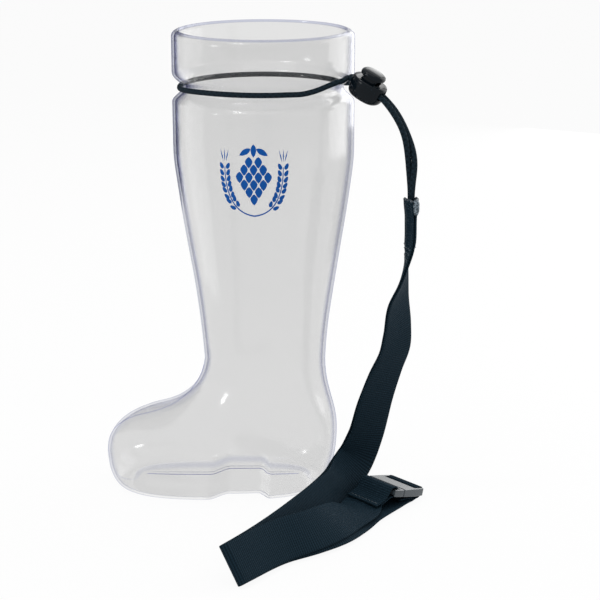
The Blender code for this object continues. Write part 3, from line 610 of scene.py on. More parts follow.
def ribbed_webbing(settings):
    """Ribbed polyester webbing: fine ribs across and warp columns along, with a dull surface, painted shade in the
    grooves between the ribs and painted highlight on their tops.
    """
    made, tree, output = new_material("ribbed_polyester_webbing")
    place = add_node(tree, "ShaderNodeUVMap", {"uv_map": "UVMap"})
    # Ribs follow the length, and the warp's columns, 1.5 mm apart, follow the width
    ribs = add_node(tree, "ShaderNodeTexWave", {"bands_direction": "Y", "Scale": math.pi / 10 / settings.rib,
                                                "Distortion": 0.25, "Detail": 1.0, "Detail Scale": 2.0},
                    Vector=place.outputs["UV"])
    warp = add_node(tree, "ShaderNodeTexWave", {"bands_direction": "X", "Scale": math.pi / 10 / 0.0015},
                    Vector=place.outputs["UV"])
    weave = add_node(tree, "ShaderNodeMath", {"operation": "MULTIPLY_ADD"})
    tree.links.new(warp.outputs["Fac"], weave.inputs[0])
    weave.inputs[1].default_value = 0.3
    tree.links.new(ribs.outputs["Fac"], weave.inputs[2])
    share = add_node(tree, "ShaderNodeMapRange", {"From Max": 1.3}, Value=weave.outputs["Value"])
    bump = add_node(tree, "ShaderNodeBump", {"Strength": 0.5, "Distance": 0.0003}, Height=weave.outputs["Value"])
    shader = add_node(tree, "ShaderNodeBsdfPrincipled", {"Roughness": 0.75, "Specular IOR Level": 0.05},
                      Normal=bump.outputs["Normal"])
    # Painted shade and highlight: darker in the weave's grooves and lighter on its ribs, following the bump's height
    tone = hollow_shade_tones(tree, settings.colour, 0.5, 1.4, share.outputs["Result"])
    tree.links.new(tone, shader.inputs["Base Color"])
    tree.links.new(shader.outputs["BSDF"], output.inputs["Surface"])
    return made


def moulded_plastic(name, colour, roughness, grain, shine=0.5):
    """Moulded plastic: solid colour, gloss broken by a fine grain from the mould."""
    made, tree, output = new_material(name)
    place = add_node(tree, "ShaderNodeTexCoord")
    texture = add_node(tree, "ShaderNodeTexNoise", {"Scale": 1 / grain, "Detail": 3.0},
                       Vector=place.outputs["Object"])
    rough = add_node(tree, "ShaderNodeMapRange", {"To Min": roughness - 0.03, "To Max": roughness + 0.05},
                     Value=texture.outputs["Fac"])
    bump = add_node(tree, "ShaderNodeBump", {"Strength": 0.05, "Distance": 0.0001}, Height=texture.outputs["Fac"])
    shader = add_node(tree, "ShaderNodeBsdfPrincipled", {
        "Base Color": (*colour, 1), "IOR": 1.5, "Specular IOR Level": shine,
    }, Roughness=rough.outputs["Result"], Normal=bump.outputs["Normal"])
    tree.links.new(shader.outputs["BSDF"], output.inputs["Surface"])
    return made


def spring_steel():
    """Spring steel wire: bright, drawn, faintly streaked."""
    made, tree, output = new_material("spring_steel")
    place = add_node(tree, "ShaderNodeTexCoord")
    streak = add_node(tree, "ShaderNodeTexNoise", {"Scale": 1 / 0.0006}, Vector=place.outputs["Object"])
    rough = add_node(tree, "ShaderNodeMapRange", {"To Min": 0.2, "To Max": 0.4}, Value=streak.outputs["Fac"])
    shader = add_node(tree, "ShaderNodeBsdfPrincipled", {"Base Color": (*linear("b9bbbd"), 1), "Metallic": 1.0},
                      Roughness=rough.outputs["Result"])
    tree.links.new(shader.outputs["BSDF"], output.inputs["Surface"])
    return made


def melted_polyester(name, dark, pale):
    """Polyester melted by a hot knife: paler glassy specks among dark yarn ends."""
    made, tree, output = new_material(name)
    place = add_node(tree, "ShaderNodeTexCoord")
    # Beads of melt, about 0.9 mm across
    bead = add_node(tree, "ShaderNodeTexNoise", {"Scale": 1 / 0.0009, "Detail": 2.0}, Vector=place.outputs["Object"])
    share = add_node(tree, "ShaderNodeMapRange", {"From Min": 0.42, "From Max": 0.62}, Value=bead.outputs["Fac"])
    tone = add_node(tree, "ShaderNodeMix", {"data_type": "RGBA"}, Factor=share.outputs["Result"])
    tone.inputs[6].default_value = (*dark, 1)
    tone.inputs[7].default_value = (*pale, 1)
    bump = add_node(tree, "ShaderNodeBump", {"Strength": 0.6, "Distance": 0.0004}, Height=bead.outputs["Fac"])
    shader = add_node(tree, "ShaderNodeBsdfPrincipled", {"Roughness": 0.5},
                      Base_Color=tone.outputs[2], Normal=bump.outputs["Normal"])
    tree.links.new(shader.outputs["BSDF"], output.inputs["Surface"])
    return made


def thread_material(name, colour):
    """Polyester thread: twisted, dull, a little lighter than the webbing."""
    made, tree, output = new_material(name)
    place = add_node(tree, "ShaderNodeTexCoord")
    twist = add_node(tree, "ShaderNodeTexNoise", {"Scale": 1 / 0.0004, "Detail": 2.0}, Vector=place.outputs["Object"])
    bump = add_node(tree, "ShaderNodeBump", {"Strength": 0.4, "Distance": 0.0002}, Height=twist.outputs["Fac"])
    shader = add_node(tree, "ShaderNodeBsdfPrincipled", {"Base Color": (*colour, 1), "Roughness": 0.6},
                      Normal=bump.outputs["Normal"])
    tree.links.new(shader.outputs["BSDF"], output.inputs["Surface"])
    return made


# Boot shell

def front_curves():
    sole = (-(TOE_REACH - SOLE_ROUND), 0.0)
    tip = (-TOE_REACH, TOE_TIP_HEIGHT)
    top = (-TOE_TOP_REACH, TOE_TOP_HEIGHT)
    ankle = (-ANKLE_RADIUS, ANKLE_HEIGHT)
    toe_back = TOE_TOP_REACH - ANKLE_RADIUS
    instep = ANKLE_HEIGHT - TOE_TOP_HEIGHT
    return [
        (sole, (sole[0] - 0.65 * SOLE_ROUND, 0.0), (tip[0], 0.5 * tip[1]), tip),
        (tip, (tip[0], 0.5 * (tip[1] + top[1])), (0.4 * top[0] + 0.6 * tip[0], 0.95 * top[1]), top),
        (top, (top[0] + 0.43 * toe_back, top[1] + 0.1 * instep),
         (ankle[0] - 0.08 * toe_back, top[1] + 0.36 * instep), ankle),
    ]


def back_curves():
    sole = (HEEL_REACH - SOLE_ROUND, 0.0)
    bulge = (HEEL_REACH, HEEL_BULGE_HEIGHT)
    ankle = (ANKLE_RADIUS, ANKLE_HEIGHT)
    rise = ANKLE_HEIGHT - HEEL_BULGE_HEIGHT
    return [
        (sole, (sole[0] + 0.55 * SOLE_ROUND, 0.0), (bulge[0], 0.5 * bulge[1]), bulge),
        (bulge, (bulge[0], bulge[1] + 0.35 * rise), (ankle[0], ankle[1] - 0.45 * rise), ankle),
    ]


def side_curves():
    sole = (FOOT_WIDTH / 2 - SOLE_SIDE_ROUND, 0.0)
    widest = (FOOT_WIDTH / 2, TOE_TIP_HEIGHT)
    ankle = (ANKLE_RADIUS, ANKLE_HEIGHT)
    return [
        (sole, (sole[0] + 0.6 * SOLE_SIDE_ROUND, 0.0), (widest[0], 0.4 * widest[1]), widest),
        (widest, (widest[0], 0.55 * ankle[1]), (ankle[0], 0.75 * ankle[1]), ankle),
    ]


def leg_curves():
    ankle = (ANKLE_RADIUS, ANKLE_HEIGHT)
    calf = (CALF_RADIUS, CALF_HEIGHT)
    shoulder = (RIM_RADIUS, SHOULDER_HEIGHT)
    lean = (CALF_RADIUS - ANKLE_RADIUS) / (CALF_HEIGHT - ANKLE_HEIGHT)
    third = (CALF_HEIGHT - ANKLE_HEIGHT) / 3
    return [
        (ankle, (ankle[0] + 0.35 * lean * third, ankle[1] + third),
         (calf[0] - lean * third, calf[1] - third), calf),
        (calf, (calf[0] + 0.5 * lean * third, calf[1] + 0.5 * third),
         (shoulder[0], shoulder[1] - 0.3 * third), shoulder),
    ]


def arch_at(x):
    rise = smooth((x - ARCH_FRONT[0]) / (ARCH_FRONT[1] - ARCH_FRONT[0]))
    fall = smooth((x - ARCH_BACK[0]) / (ARCH_BACK[1] - ARCH_BACK[0]))
    return ARCH_HEIGHT * rise * (1 - fall)


def shell_turns():
    """Turns of the shell's points: even, with a few close ones at the mould's parting line."""
    step = 2 * math.pi / SHELL_SIDES
    close = [math.radians(turn) for turn in (0.35, 0.8, 1.5)]
    half = [0.0] + close + [step * i for i in range(1, SHELL_SIDES // 2)]
    half += [math.pi - turn for turn in reversed(close)] + [math.pi]
    return half + [2 * math.pi - turn for turn in reversed(half[1:-1])]


def foot_outline(height, turns):
    """Outline of the foot at a height, as points from the leg's axis."""
    front = reach_at(front_curves(), height)
    back = reach_at(back_curves(), height)
    half = reach_at(side_curves(), height)
    low = 1 - smooth(height / ANKLE_HEIGHT)
    middle = -BALL_SETBACK * low
    boxy = 2 + 0.7 * smooth(1.6 * (1 - height / ANKLE_HEIGHT))
    return [(middle + x, y) for x, y in egg(middle - front, back - middle, half, boxy, turns)]


def sole_ring(inset, end_inset, rise, dip, turns):
    """The sole's outline drawn in from its sides and, near them only, from its ends."""
    half = FOOT_WIDTH / 2 - SOLE_SIDE_ROUND
    made = []
    for x, y in foot_outline(0.0, turns):
        along = x + BALL_SETBACK
        reach = TOE_REACH - SOLE_ROUND - BALL_SETBACK
        if along > 0:
            reach = HEEL_REACH - SOLE_ROUND + BALL_SETBACK
        share = abs(along / reach) ** 3
        drawn = along * (1 - end_inset / reach * share) - BALL_SETBACK
        made.append((drawn, y * (1 - inset / half), rise - dip * (1 - share) + arch_at(drawn)))
    return made


def sole_rings(turns):
    """Rings from the pinched seam out to the edge of the rest pads."""
    seam_edge = FOOT_WIDTH / 2 - SOLE_SIDE_ROUND - SEAM_HALF_WIDTH
    seam_foot = seam_edge - SEAM_FOOT
    rings = [sole_ring(seam_edge, SEAM_END, PUSH_UP, SEAM_DEPTH, turns)]
    steps = 16
    for i in range(steps + 1):
        share = 1 - i / steps
        inset = PAD_WIDTH + share * (seam_foot - PAD_WIDTH)
        end_inset = PAD_WIDTH + share * (SEAM_END - SEAM_FOOT - PAD_WIDTH)
        rings.append(sole_ring(inset, end_inset, PUSH_UP * smooth(1.15 * share), 0.0, turns))
    return rings


def foot_rings(turns):
    heights = [share * TOE_TIP_HEIGHT for share in (0.0, 0.02, 0.06, 0.12, 0.2, 0.3, 0.42, 0.56, 0.7, 0.85)]
    toe = TOE_TOP_HEIGHT - TOE_TIP_HEIGHT
    heights += [TOE_TIP_HEIGHT + share * toe for share in (0.0, 0.15, 0.3, 0.44, 0.56, 0.67, 0.77, 0.86, 0.94)]
    instep = ANKLE_HEIGHT - TOE_TOP_HEIGHT
    heights += [TOE_TOP_HEIGHT + share * instep
                for share in (0.0, 0.04, 0.09, 0.15, 0.22, 0.3, 0.4, 0.5, 0.62, 0.74, 0.87, 1.0)]
    rings = []
    for height in heights:
        low = max(0.0, 1 - height / ARCH_FADE)
        rings.append([(x, y, height + low * arch_at(x)) for x, y in foot_outline(height, turns)])
    return rings


def groove_radius(height):
    off = (height - GROOVE_HEIGHT) / GROOVE_HALF_WIDTH
    if abs(off) >= 1:
        return RIM_RADIUS
    return RIM_RADIUS - GROOVE_DEPTH * math.cos(math.pi / 2 * off) ** 2


def leg_radius(height):
    if height >= SHOULDER_HEIGHT:
        return groove_radius(height)
    return reach_at(leg_curves(), height)


def leg_rings(turns, lip):
    levels = []
    steps = 30
    for i in range(1, steps + 1):
        levels.append(ANKLE_HEIGHT + (SHOULDER_HEIGHT - ANKLE_HEIGHT) * i / steps)
    levels.append((SHOULDER_HEIGHT + GROOVE_HEIGHT - GROOVE_HALF_WIDTH) / 2)
    for i in range(-10, 11):
        levels.append(GROOVE_HEIGHT + GROOVE_HALF_WIDTH * i / 10)
    band_top = BOOT_HEIGHT - lip
    for share in (0.4, 0.8):
        levels.append(levels[-1] + (band_top - levels[-1]) * share)
    profile = [(leg_radius(height), height) for height in levels]
    for turn in range(0, 91, 9):
        angle = math.radians(turn)
        profile.append((RIM_RADIUS - lip * (1 - math.cos(angle)), BOOT_HEIGHT - lip * (1 - math.sin(angle))))
    return [[(x, y, height) for x, y in egg(radius, radius, radius, 2, turns)] for radius, height in profile]


def weathered(point, turn, settings):
    """A shell point with the mould's parting line and the wall's slight waves put in."""
    x, y, z = point
    flat = Vector((x, y, 0))
    if flat.length < 1e-6 or z < TOE_TIP_HEIGHT * 0.6:
        return Vector(point)
    out = flat.normalized()
    wave = math.sin(3 * turn + 41 * z) * math.sin(2 * turn - 67 * z + 1) + 0.5 * math.sin(5 * turn + 97 * z)
    rise = settings.wave * wave * smooth((BOOT_HEIGHT - z) / 0.06)
    if min(abs(math.sin(turn)), 1) < math.sin(math.radians(0.5)):
        rise += settings.parting
    return Vector(point) + rise * out


def mark_seams(shape, rings):
    """Give the parting line its slot, and the pinched sole and the instep's ridge, where it is thick, theirs."""
    count = len(rings[0])
    half = count // 2
    flanks = [{1, 2}, {count - 1, count - 2}, {half - 1, half - 2}, {half + 1, half + 2}]
    columns = {vert: i for ring in rings for i, vert in enumerate(ring)}
    pinch = set(rings[0])
    for face in shape.faces:
        middle = face.calc_center_median()
        on_ridge = INSTEP_RIDGE[0] < middle.z < INSTEP_RIDGE[1] and middle.x < LEG.x
        on_flank = {columns[vert] for vert in face.verts} in flanks
        if pinch.issuperset(face.verts) or on_flank and on_ridge:
            face.material_index = 4
        elif on_flank:
            face.material_index = 2


class BEERBOOT_OT_shell(bpy.types.Operator):
    """Build the clear shell: one wall from the pinched sole up to the round lip"""

    bl_idname = "beerboot.shell"
    bl_label = "Clear shell"

    def execute(self, context):
        settings = context.scene.beerboot_shell
        turns = shell_turns()
        rings = sole_rings(turns) + foot_rings(turns) + leg_rings(turns, settings.lip)
        placed = [[weathered(point, turn, settings) + LEG for point, turn in zip(ring, turns)] for ring in rings]
        shape, made = loft(placed, caps=False)
        half = len(turns) // 2
        seam = made[0]
        for i in range(half):
            corners = [seam[i], seam[i + 1], seam[-i - 1], seam[-i] if i else seam[0]]
            bmesh.ops.contextual_create(shape, geom=list(dict.fromkeys(corners)))
        mark_seams(shape, made)
        foot, blown = settings.foot_tint, settings.blown_tint
        outside = clear_copolyester("clear_copolyester", settings.tint, blown, settings.skin_tint, foot)
        inside = clear_copolyester("clear_copolyester_inside", settings.tint, blown, settings.edge_tint, foot)
        seams = clear_copolyester("clear_copolyester_seam", settings.seam_tint, settings.seam_tint, settings.edge_tint, foot)
        pinch = clear_copolyester("clear_copolyester_pinch", *3 * (settings.pinch_tint,), foot)
        shell = add_piece("clear_shell", shape, outside, smooth_angle=60)
        for more in (inside, seams, inside, pinch, inside):
            shell.data.materials.append(more)
        wall = shell.modifiers.new("wall", "SOLIDIFY")
        wall.thickness = settings.wall
        wall.offset = -1
        wall.use_even_offset = True
        wall.use_quality_normals = True
        wall.material_offset = 1
        wall.material_offset_rim = 2
        lip = shell.modifiers.new("mouth_edge", "BEVEL")
        lip.width = settings.wall * 0.4
        lip.segments = 3
        lip.limit_method = "ANGLE"
        lip.angle_limit = math.radians(60)
        stands_for(shell, "boot", "clear_plastic", "boot_shell")
        return {"FINISHED"}


# Print on the leg: a hop cone between two ears of barley, drawn in millimetres about its middle

PRINT_BEARING = math.radians(270 - 5)
PRINT_CENTRE = 0.2085
PRINT_DRAWN = 46.0
INK = (0.00003, 0.0001)
# Rows of the cone's scales: height and count
HOP_ROWS = [(11.5, 2), (7.0, 3), (2.5, 4), (-2.0, 3), (-6.5, 2), (-11.0, 1)]
HOP_SPACING = 5.6
HOP_SCALE = (3.9, 2.9, 2.25, 1.35)
HOP_LEAVES = [(-4.6, 17.4, -58), (4.6, 17.4, 58), (0.0, 18.4, 0)]
HOP_LEAF = (4.4, 3.4, 1.7, 1.5)
EAR_STEM = ((0.0, -21.5), (17.0, -19.5), (17.4, 8.0))
EAR_GRAINS = 8
EAR_BARE = 0.34
EAR_GRAIN = (1.4, 2.7, 1.15, 1.8)
EAR_AWN = (3.2, 4.4, 0.32, 1.3)


def on_leg(u, v, lift, settings):
    """The point on the leg at u across and v above the print's middle, lifted off the wall."""
    scale = settings.print_height / PRINT_DRAWN
    height = PRINT_CENTRE + v * scale
    radius = leg_radius(height)
    turn = PRINT_BEARING + u * scale / radius
    out = Vector((math.cos(turn), math.sin(turn), 0))
    wall = weathered((radius * out.x, radius * out.y, height), turn, settings)
    return LEG + wall + lift * out


def leaf(u, v, turn, form, settings):
    """A patch of ink with a tip below and a round end above, turned by degrees."""
    sine, cosine = math.sin(math.radians(turn)), math.cos(math.radians(turn))
    outline = [(u + y * cosine - x * sine, v + y * sine + x * cosine) for x, y in egg(*form, even_turns(20))]
    shape, _ = loft([[on_leg(a, b, lift, settings) for a, b in outline] for lift in INK])
    return shape


def ear(side, settings):
    """Patches of ink for one ear of barley: its stem, its grains in pairs and its awns."""
    a, b, c = (Vector((side * u, v)) for u, v in EAR_STEM)
    steps = 40
    places = []
    heads = []
    for i in range(steps + 1):
        t = i / steps
        places.append(a * (1 - t) ** 2 + 2 * b * t * (1 - t) + c * t * t)
        heads.append(((b - a) * (1 - t) + (c - b) * t).normalized())
    along = lengths_along(places)
    stem = []
    for i, (place, ahead) in enumerate(zip(places, heads)):
        across = Vector((ahead.y, -ahead.x)) * (0.45 - 0.2 * i / steps)
        corners = ((-1, INK[0]), (1, INK[0]), (1, INK[1]), (-1, INK[1]))
        stem.append([on_leg(*(place + k * across), lift, settings) for k, lift in corners])
    made = [loft(stem)[0]]
    for i in range(EAR_GRAINS):
        reach = along[-1] * (EAR_BARE + (1 - EAR_BARE) * i / (EAR_GRAINS - 1))
        nearest = min(range(steps + 1), key=lambda k: abs(along[k] - reach))
        place, ahead = places[nearest], heads[nearest]
        heading = math.degrees(math.atan2(-ahead.x, ahead.y))
        for hand in (-1, 1):
            across = hand * Vector((ahead.y, -ahead.x))
            made.append(leaf(*(place + 1.75 * across), heading - 24 * hand, EAR_GRAIN, settings))
    for lean in (-14, 0, 14):
        turn = heading - lean
        tip = Vector((-math.sin(math.radians(turn)), math.cos(math.radians(turn))))
        made.append(leaf(*(place + 6.4 * tip), turn, EAR_AWN, settings))
    return made


class BEERBOOT_OT_print(bpy.types.Operator):
    """Print the hop cone and the two ears of barley on the front of the leg"""

    bl_idname = "beerboot.print"
    bl_label = "Print on the leg"

    def execute(self, context):
        settings = context.scene.beerboot_shell
        patches = ear(1, settings) + ear(-1, settings)
        for height, count in HOP_ROWS:
            for i in range(count):
                patches.append(leaf((i - (count - 1) / 2) * HOP_SPACING, height, 0, HOP_SCALE, settings))
        for u, v, turn in HOP_LEAVES:
            patches.append(leaf(u, v, turn, HOP_LEAF, settings))
        ink = add_piece("leg_print", joined(patches), printed_ink(settings))
        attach(ink, "boot")
        return {"FINISHED"}


# Cord: the hanging arc, the loop round the neck and the twisted tails

def lock_centre():
    return LEG + (RIM_RADIUS + LOCK_STANDOFF) * OUT + (GROOVE_HEIGHT + LOCK_RISE) * UP


def arc_outward(dip):
    return math.sin(dip) * OUT + math.cos(dip) * UP


def arc_along(dip):
    return math.cos(dip) * OUT - math.sin(dip) * UP


def arc_centre():
    return lock_centre() - ARC_RADIUS * arc_outward(LOCK_DIP)


def arc_point(dip):
    return arc_centre() + ARC_RADIUS * arc_outward(dip)


def tail_middle():
    """Points down the middle of the two tails, from the lock to their sewn ends, with turns."""
    half_lock = LOCK_LENGTH / 2 / ARC_RADIUS
    first = LOCK_DIP - half_lock - math.radians(3)
    arc_steps = 13
    made = []
    twist_length = (math.pi / 2 - TWIST_START) * ARC_RADIUS + TAIL_DROP
    bearing = math.atan2(ACROSS.y, ACROSS.x)
    for i in range(arc_steps):
        dip = first + (math.pi / 2 - first) * i / (arc_steps - 1)
        run = max(0.0, (dip - TWIST_START) * ARC_RADIUS)
        turn = bearing + (TWIST_END - bearing) * smooth(run / twist_length)
        made.append((arc_point(dip), turn))
    end = arc_point(math.pi / 2)
    for drop in (0.35, 0.7, 1.0):
        run = (math.pi / 2 - TWIST_START) * ARC_RADIUS + drop * TAIL_DROP
        turn = bearing + (TWIST_END - bearing) * smooth(run / twist_length)
        made.append((end - drop * TAIL_DROP * UP, turn))
    for share in (0.34, 0.67, 1.0):
        made.append((end - (TAIL_DROP + share * TAIL_SEWN) * UP, TWIST_END))
    return made


def tail_points(side):
    return [place + side * PAIR_HALF * Vector((math.cos(turn), math.sin(turn), 0))
            for place, turn in tail_middle()]


def neck_reach(climb):
    """Least reach of the cord's middle at a height above the groove, clear of the shell."""
    clear = CORD_RADIUS + NECK_CLEARANCE
    turns = [math.radians(5 * i) for i in range(-18, 19)]
    return max(groove_radius(GROOVE_HEIGHT + climb + clear * math.sin(turn)) + clear * math.cos(turn)
               for turn in turns)


# How the cord leaves the groove: turn from the lock's bearing, climb and extra reach
NECK_LEAVES = [
    (math.radians(7.6), 0.0092, 0.0032),
    (math.radians(11.5), 0.0082, 0.0012),
    (math.radians(17.0), 0.0066, 0.0002),
    (math.radians(24.0), 0.0044, 0.0),
    (math.radians(32.0), 0.0022, 0.0),
    (math.radians(42.0), 0.0006, 0.0),
    (math.radians(54.0), 0.0, 0.0),
]


def neck_points():
    """The loop round the neck, from the front tail's side of the lock to the back tail's side."""
    turns = list(NECK_LEAVES)
    first = NECK_LEAVES[-1][0]
    steps = 26
    for i in range(1, steps):
        turns.append((first + (2 * math.pi - 2 * first) * i / steps, 0.0, 0.0))
    turns += [(2 * math.pi - turn, climb, past) for turn, climb, past in reversed(NECK_LEAVES)]
    made = []
    for turn, climb, past in turns:
        bearing = LOCK_BEARING + turn
        climb = max(climb, FRONT_RISE * smooth(math.sin(bearing)))
        flat = Vector((math.cos(bearing), -math.sin(bearing), 0))
        made.append(LEG + (neck_reach(climb) + past) * flat + (GROOVE_HEIGHT + climb) * UP)
    return made


def tube(points, radius, sides):
    """A tube along a line of points, of one radius or a list of them, with a UV map in metres."""
    radii = radius if isinstance(radius, list) else [radius] * len(points)
    rings = []
    normal = None
    for i, point in enumerate(points):
        ahead = (points[min(i + 1, len(points) - 1)] - points[max(i - 1, 0)]).normalized()
        if normal is None:
            normal = ahead.orthogonal()
        normal = (normal - normal.dot(ahead) * ahead).normalized()
        other = ahead.cross(normal)
        rings.append([point + radii[i] * (math.cos(turn) * normal + math.sin(turn) * other)
                      for turn in even_turns(sides)])
    shape, made = loft(rings)
    girth = 2 * math.pi * radii[0]
    lay_uv(shape, made, [girth * i / sides for i in range(sides)], lengths_along(points), girth)
    return shape


class BEERBOOT_OT_cord(bpy.types.Operator):
    """Lay the neck cord: tail, loop round the neck in the groove, and the other tail"""

    bl_idname = "beerboot.cord"
    bl_label = "Neck cord"

    def execute(self, context):
        route = list(reversed(tail_points(-1))) + neck_points() + tail_points(1)
        points = spline(route, CORD_SPACING)
        along = lengths_along(points)
        radii = []
        for length in along:
            from_end = min(length, along[-1] - length)
            radii.append(CORD_RADIUS + TAIL_SWELL * smooth((TAIL_LENGTH - from_end) / TAIL_SWELLS_OVER))
        cord = add_piece("neck_cord_braid", tube(points, radii, CORD_SIDES),
                         braided_polyester(context.scene.beerboot_cord))
        stands_for(cord, "boot", "black_cord", "neck_cord")
        return {"FINISHED"}


# Cord lock, in its own frame: X along the bore, Z along the plunger

PASSAGE_SAG = ARC_RADIUS * (1 - math.cos(LOCK_LENGTH / 2 / ARC_RADIUS))
PASSAGE_TOP = CORD_RADIUS + CLEARANCE
PASSAGE_BOTTOM = -PASSAGE_SAG - CORD_RADIUS - 1.5 * CLEARANCE
PASSAGE_WIDTH = 2 * (PAIR_HALF + CORD_RADIUS + 2 * CLEARANCE)
STEM_WIDTH = PASSAGE_WIDTH + 2 * STEM_WALL
WINDOW_BOTTOM = -CORD_RADIUS - 2 * CLEARANCE
WINDOW_TOP = PASSAGE_TOP + PLUNGER_TRAVEL + CLEARANCE
STEM_BOTTOM = WINDOW_BOTTOM - STEM_FOOT
CAP_BOTTOM = LOCK_ABOVE + PLUNGER_TRAVEL + 2 * CLEARANCE
POCKET_FLOOR = -LOCK_BELOW + LOCK_FLOOR


def lock_frame():
    turn = Matrix((arc_along(LOCK_DIP), ACROSS, arc_outward(LOCK_DIP))).transposed().to_4x4()
    return Matrix.Translation(lock_centre()) @ turn


def oval(length, width, power, height):
    half = length / 2
    outline = egg(half, half, width / 2, power, even_turns(LOCK_SIDES))
    return [Vector((x, y, height)) for x, y in outline]


def passage(bottom, top, width, length):
    """A rounded bar along X, to cut a passage from bottom to top."""
    middle = (top + bottom) / 2
    outline = egg(width / 2, width / 2, (top - bottom) / 2, 5, even_turns(40))
    shape, _ = loft([[Vector((x, y, middle + z)) for y, z in outline] for x in (-length / 2, length / 2)])
    return shape


def lock_body_shape():
    full = LOCK_BELOW + LOCK_ABOVE
    levels = [(0.0, 0.58), (0.015, 0.66), (0.045, 0.765), (0.09, 0.85), (0.15, 0.915), (0.22, 0.955),
              (0.32, 0.985), (0.45, 1.0), (0.86, 1.0), (0.93, 0.992), (0.97, 0.972), (1.0, 0.93)]
    shape, _ = loft([
        oval(LOCK_LENGTH * size, LOCK_WIDTH * size, 2.4, full * share - LOCK_BELOW)
        for share, size in levels
    ])
    return shape


def plunger_shape():
    levels = [
        (STEM_LENGTH * 0.94, STEM_WIDTH * 0.94, 4, STEM_BOTTOM),
        (STEM_LENGTH, STEM_WIDTH, 4, STEM_BOTTOM + 0.3 * STEM_FOOT),
        (STEM_LENGTH, STEM_WIDTH, 4, CAP_BOTTOM),
        (CAP_LENGTH * 0.94, CAP_WIDTH * 0.94, 2.4, CAP_BOTTOM),
        (CAP_LENGTH * 0.985, CAP_WIDTH * 0.985, 2.4, CAP_BOTTOM + 0.06 * CAP_THICKNESS),
        (CAP_LENGTH, CAP_WIDTH, 2.4, CAP_BOTTOM + 0.18 * CAP_THICKNESS),
        (CAP_LENGTH, CAP_WIDTH, 2.4, CAP_BOTTOM + 0.5 * CAP_THICKNESS),
        (CAP_LENGTH * 0.985, CAP_WIDTH * 0.985, 2.4, CAP_BOTTOM + 0.64 * CAP_THICKNESS),
        (CAP_LENGTH * 0.95, CAP_WIDTH * 0.95, 2.4, CAP_BOTTOM + 0.78 * CAP_THICKNESS),
        (CAP_LENGTH * 0.87, CAP_WIDTH * 0.87, 2.4, CAP_BOTTOM + 0.9 * CAP_THICKNESS),
        (CAP_LENGTH * 0.72, CAP_WIDTH * 0.72, 2.4, CAP_BOTTOM + CAP_THICKNESS),
    ]
    shape, _ = loft([oval(a, b, power, height) for a, b, power, height in levels])
    return shape


class BEERBOOT_OT_lock(bpy.types.Operator):
    """Build the cord lock: body, plunger and spring"""

    bl_idname = "beerboot.lock"
    bl_label = "Cord lock"

    def execute(self, context):
        settings = context.scene.beerboot_hardware
        here = lock_frame()
        black = moulded_plastic("moulded_acetal", settings.lock_colour, 0.12, 0.0012, 0.12)
        body = add_piece("lock_housing", lock_body_shape(), black)
        pocket, _ = loft([oval(STEM_LENGTH + 2 * FIT, STEM_WIDTH + 2 * FIT, 4, height)
                          for height in (POCKET_FLOOR, LOCK_ABOVE + CUT_PAST)])
        way = passage(PASSAGE_BOTTOM, PASSAGE_TOP, PASSAGE_WIDTH, 2 * LOCK_LENGTH)
        carve(body, [pocket, way]).data.transform(here)
        round_edges(body, settings.edge * 0.5, 2)
        stands_for(body, "lock", "lock_plastic", "lock_body")

        plunger = add_piece("lock_button", plunger_shape(), black)
        window = passage(WINDOW_BOTTOM, WINDOW_TOP, PASSAGE_WIDTH, 2 * LOCK_LENGTH)
        carve(plunger, [window]).data.transform(here)
        stands_for(plunger, "plunger", "lock_plastic", "lock_plunger")

        bottom = POCKET_FLOOR + CLEARANCE + SPRING_WIRE / 2
        top = STEM_BOTTOM - CLEARANCE - SPRING_WIRE / 2
        per_turn = 20
        coil = []
        for i in range(SPRING_TURNS * per_turn + 1):
            turn = 2 * math.pi * i / per_turn
            height = bottom + (top - bottom) * i / (SPRING_TURNS * per_turn)
            coil.append(here @ Vector((SPRING_RADIUS * math.cos(turn), SPRING_RADIUS * math.sin(turn), height)))
        spring = add_piece("lock_coil", tube(coil, SPRING_WIRE / 2, 8), spring_steel())
        stands_for(spring, "lock", "spring_steel", "lock_spring")
        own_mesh(spring)
        return {"FINISHED"}


# Webbing: stations of (place, side), where side points to the edge that hangs on the right

def side_of(bearing, dip):
    flat = math.cos(math.radians(dip))
    angle = math.radians(bearing)
    return Vector((flat * math.cos(angle), flat * math.sin(angle), -math.sin(math.radians(dip))))


def clip_frame():
    turn = (Matrix.Rotation(CLIP_HEADING, 4, "Z") @ Matrix.Rotation(CLIP_DIP, 4, "Y")
            @ Matrix.Rotation(CLIP_ROLL, 4, "X"))
    return Matrix.Translation(LEG + Vector(CLIP_PLACE)) @ turn


# Hanging pair: share of the way up from its foot, bow along X and Y, bearing and dip of its side
HANGING_FOOT = (0.0533, -0.0160, 0.0142)
HANGING = [
    (0.929, 0.0024, -0.0026, 97, 0),
    (0.859, 0.0047, -0.0053, 95, 0),
    (0.779, 0.0051, -0.0071, 86, 0),
    (0.726, 0.0054, -0.0069, 77, 0),
    (0.653, 0.0056, -0.0061, 62, 0),
    (0.542, 0.0093, -0.0047, 49, 0),
    (0.466, 0.0109, -0.0036, 41, 1),
    (0.380, 0.0087, -0.0018, 35, 1),
    (0.268, 0.0068, 0.0005, 30, 2),
    (0.115, 0.0057, 0.0028, 26, 6),
]
# Back of the wall of webbing on the floor: place from the leg's axis, bearing and dip of its side
WALL_BACK = [
    (0.0577, -0.0180, 0.0225, 20, 24),
    (0.0496, -0.0290, 0.0142, 4, 52),
    (0.0424, -0.0465, 0.0130, -12, 72),
    (0.0346, -0.0660, 0.0126, -20, 66),
    (0.0215, -0.0920, 0.0120, -25, 60),
    (0.0085, -0.1155, 0.0117, -27, 58),
    (-0.0055, -0.1380, 0.0115, -28, 58),
    (-0.0162, -0.1535, 0.0114, -28, 58),
]
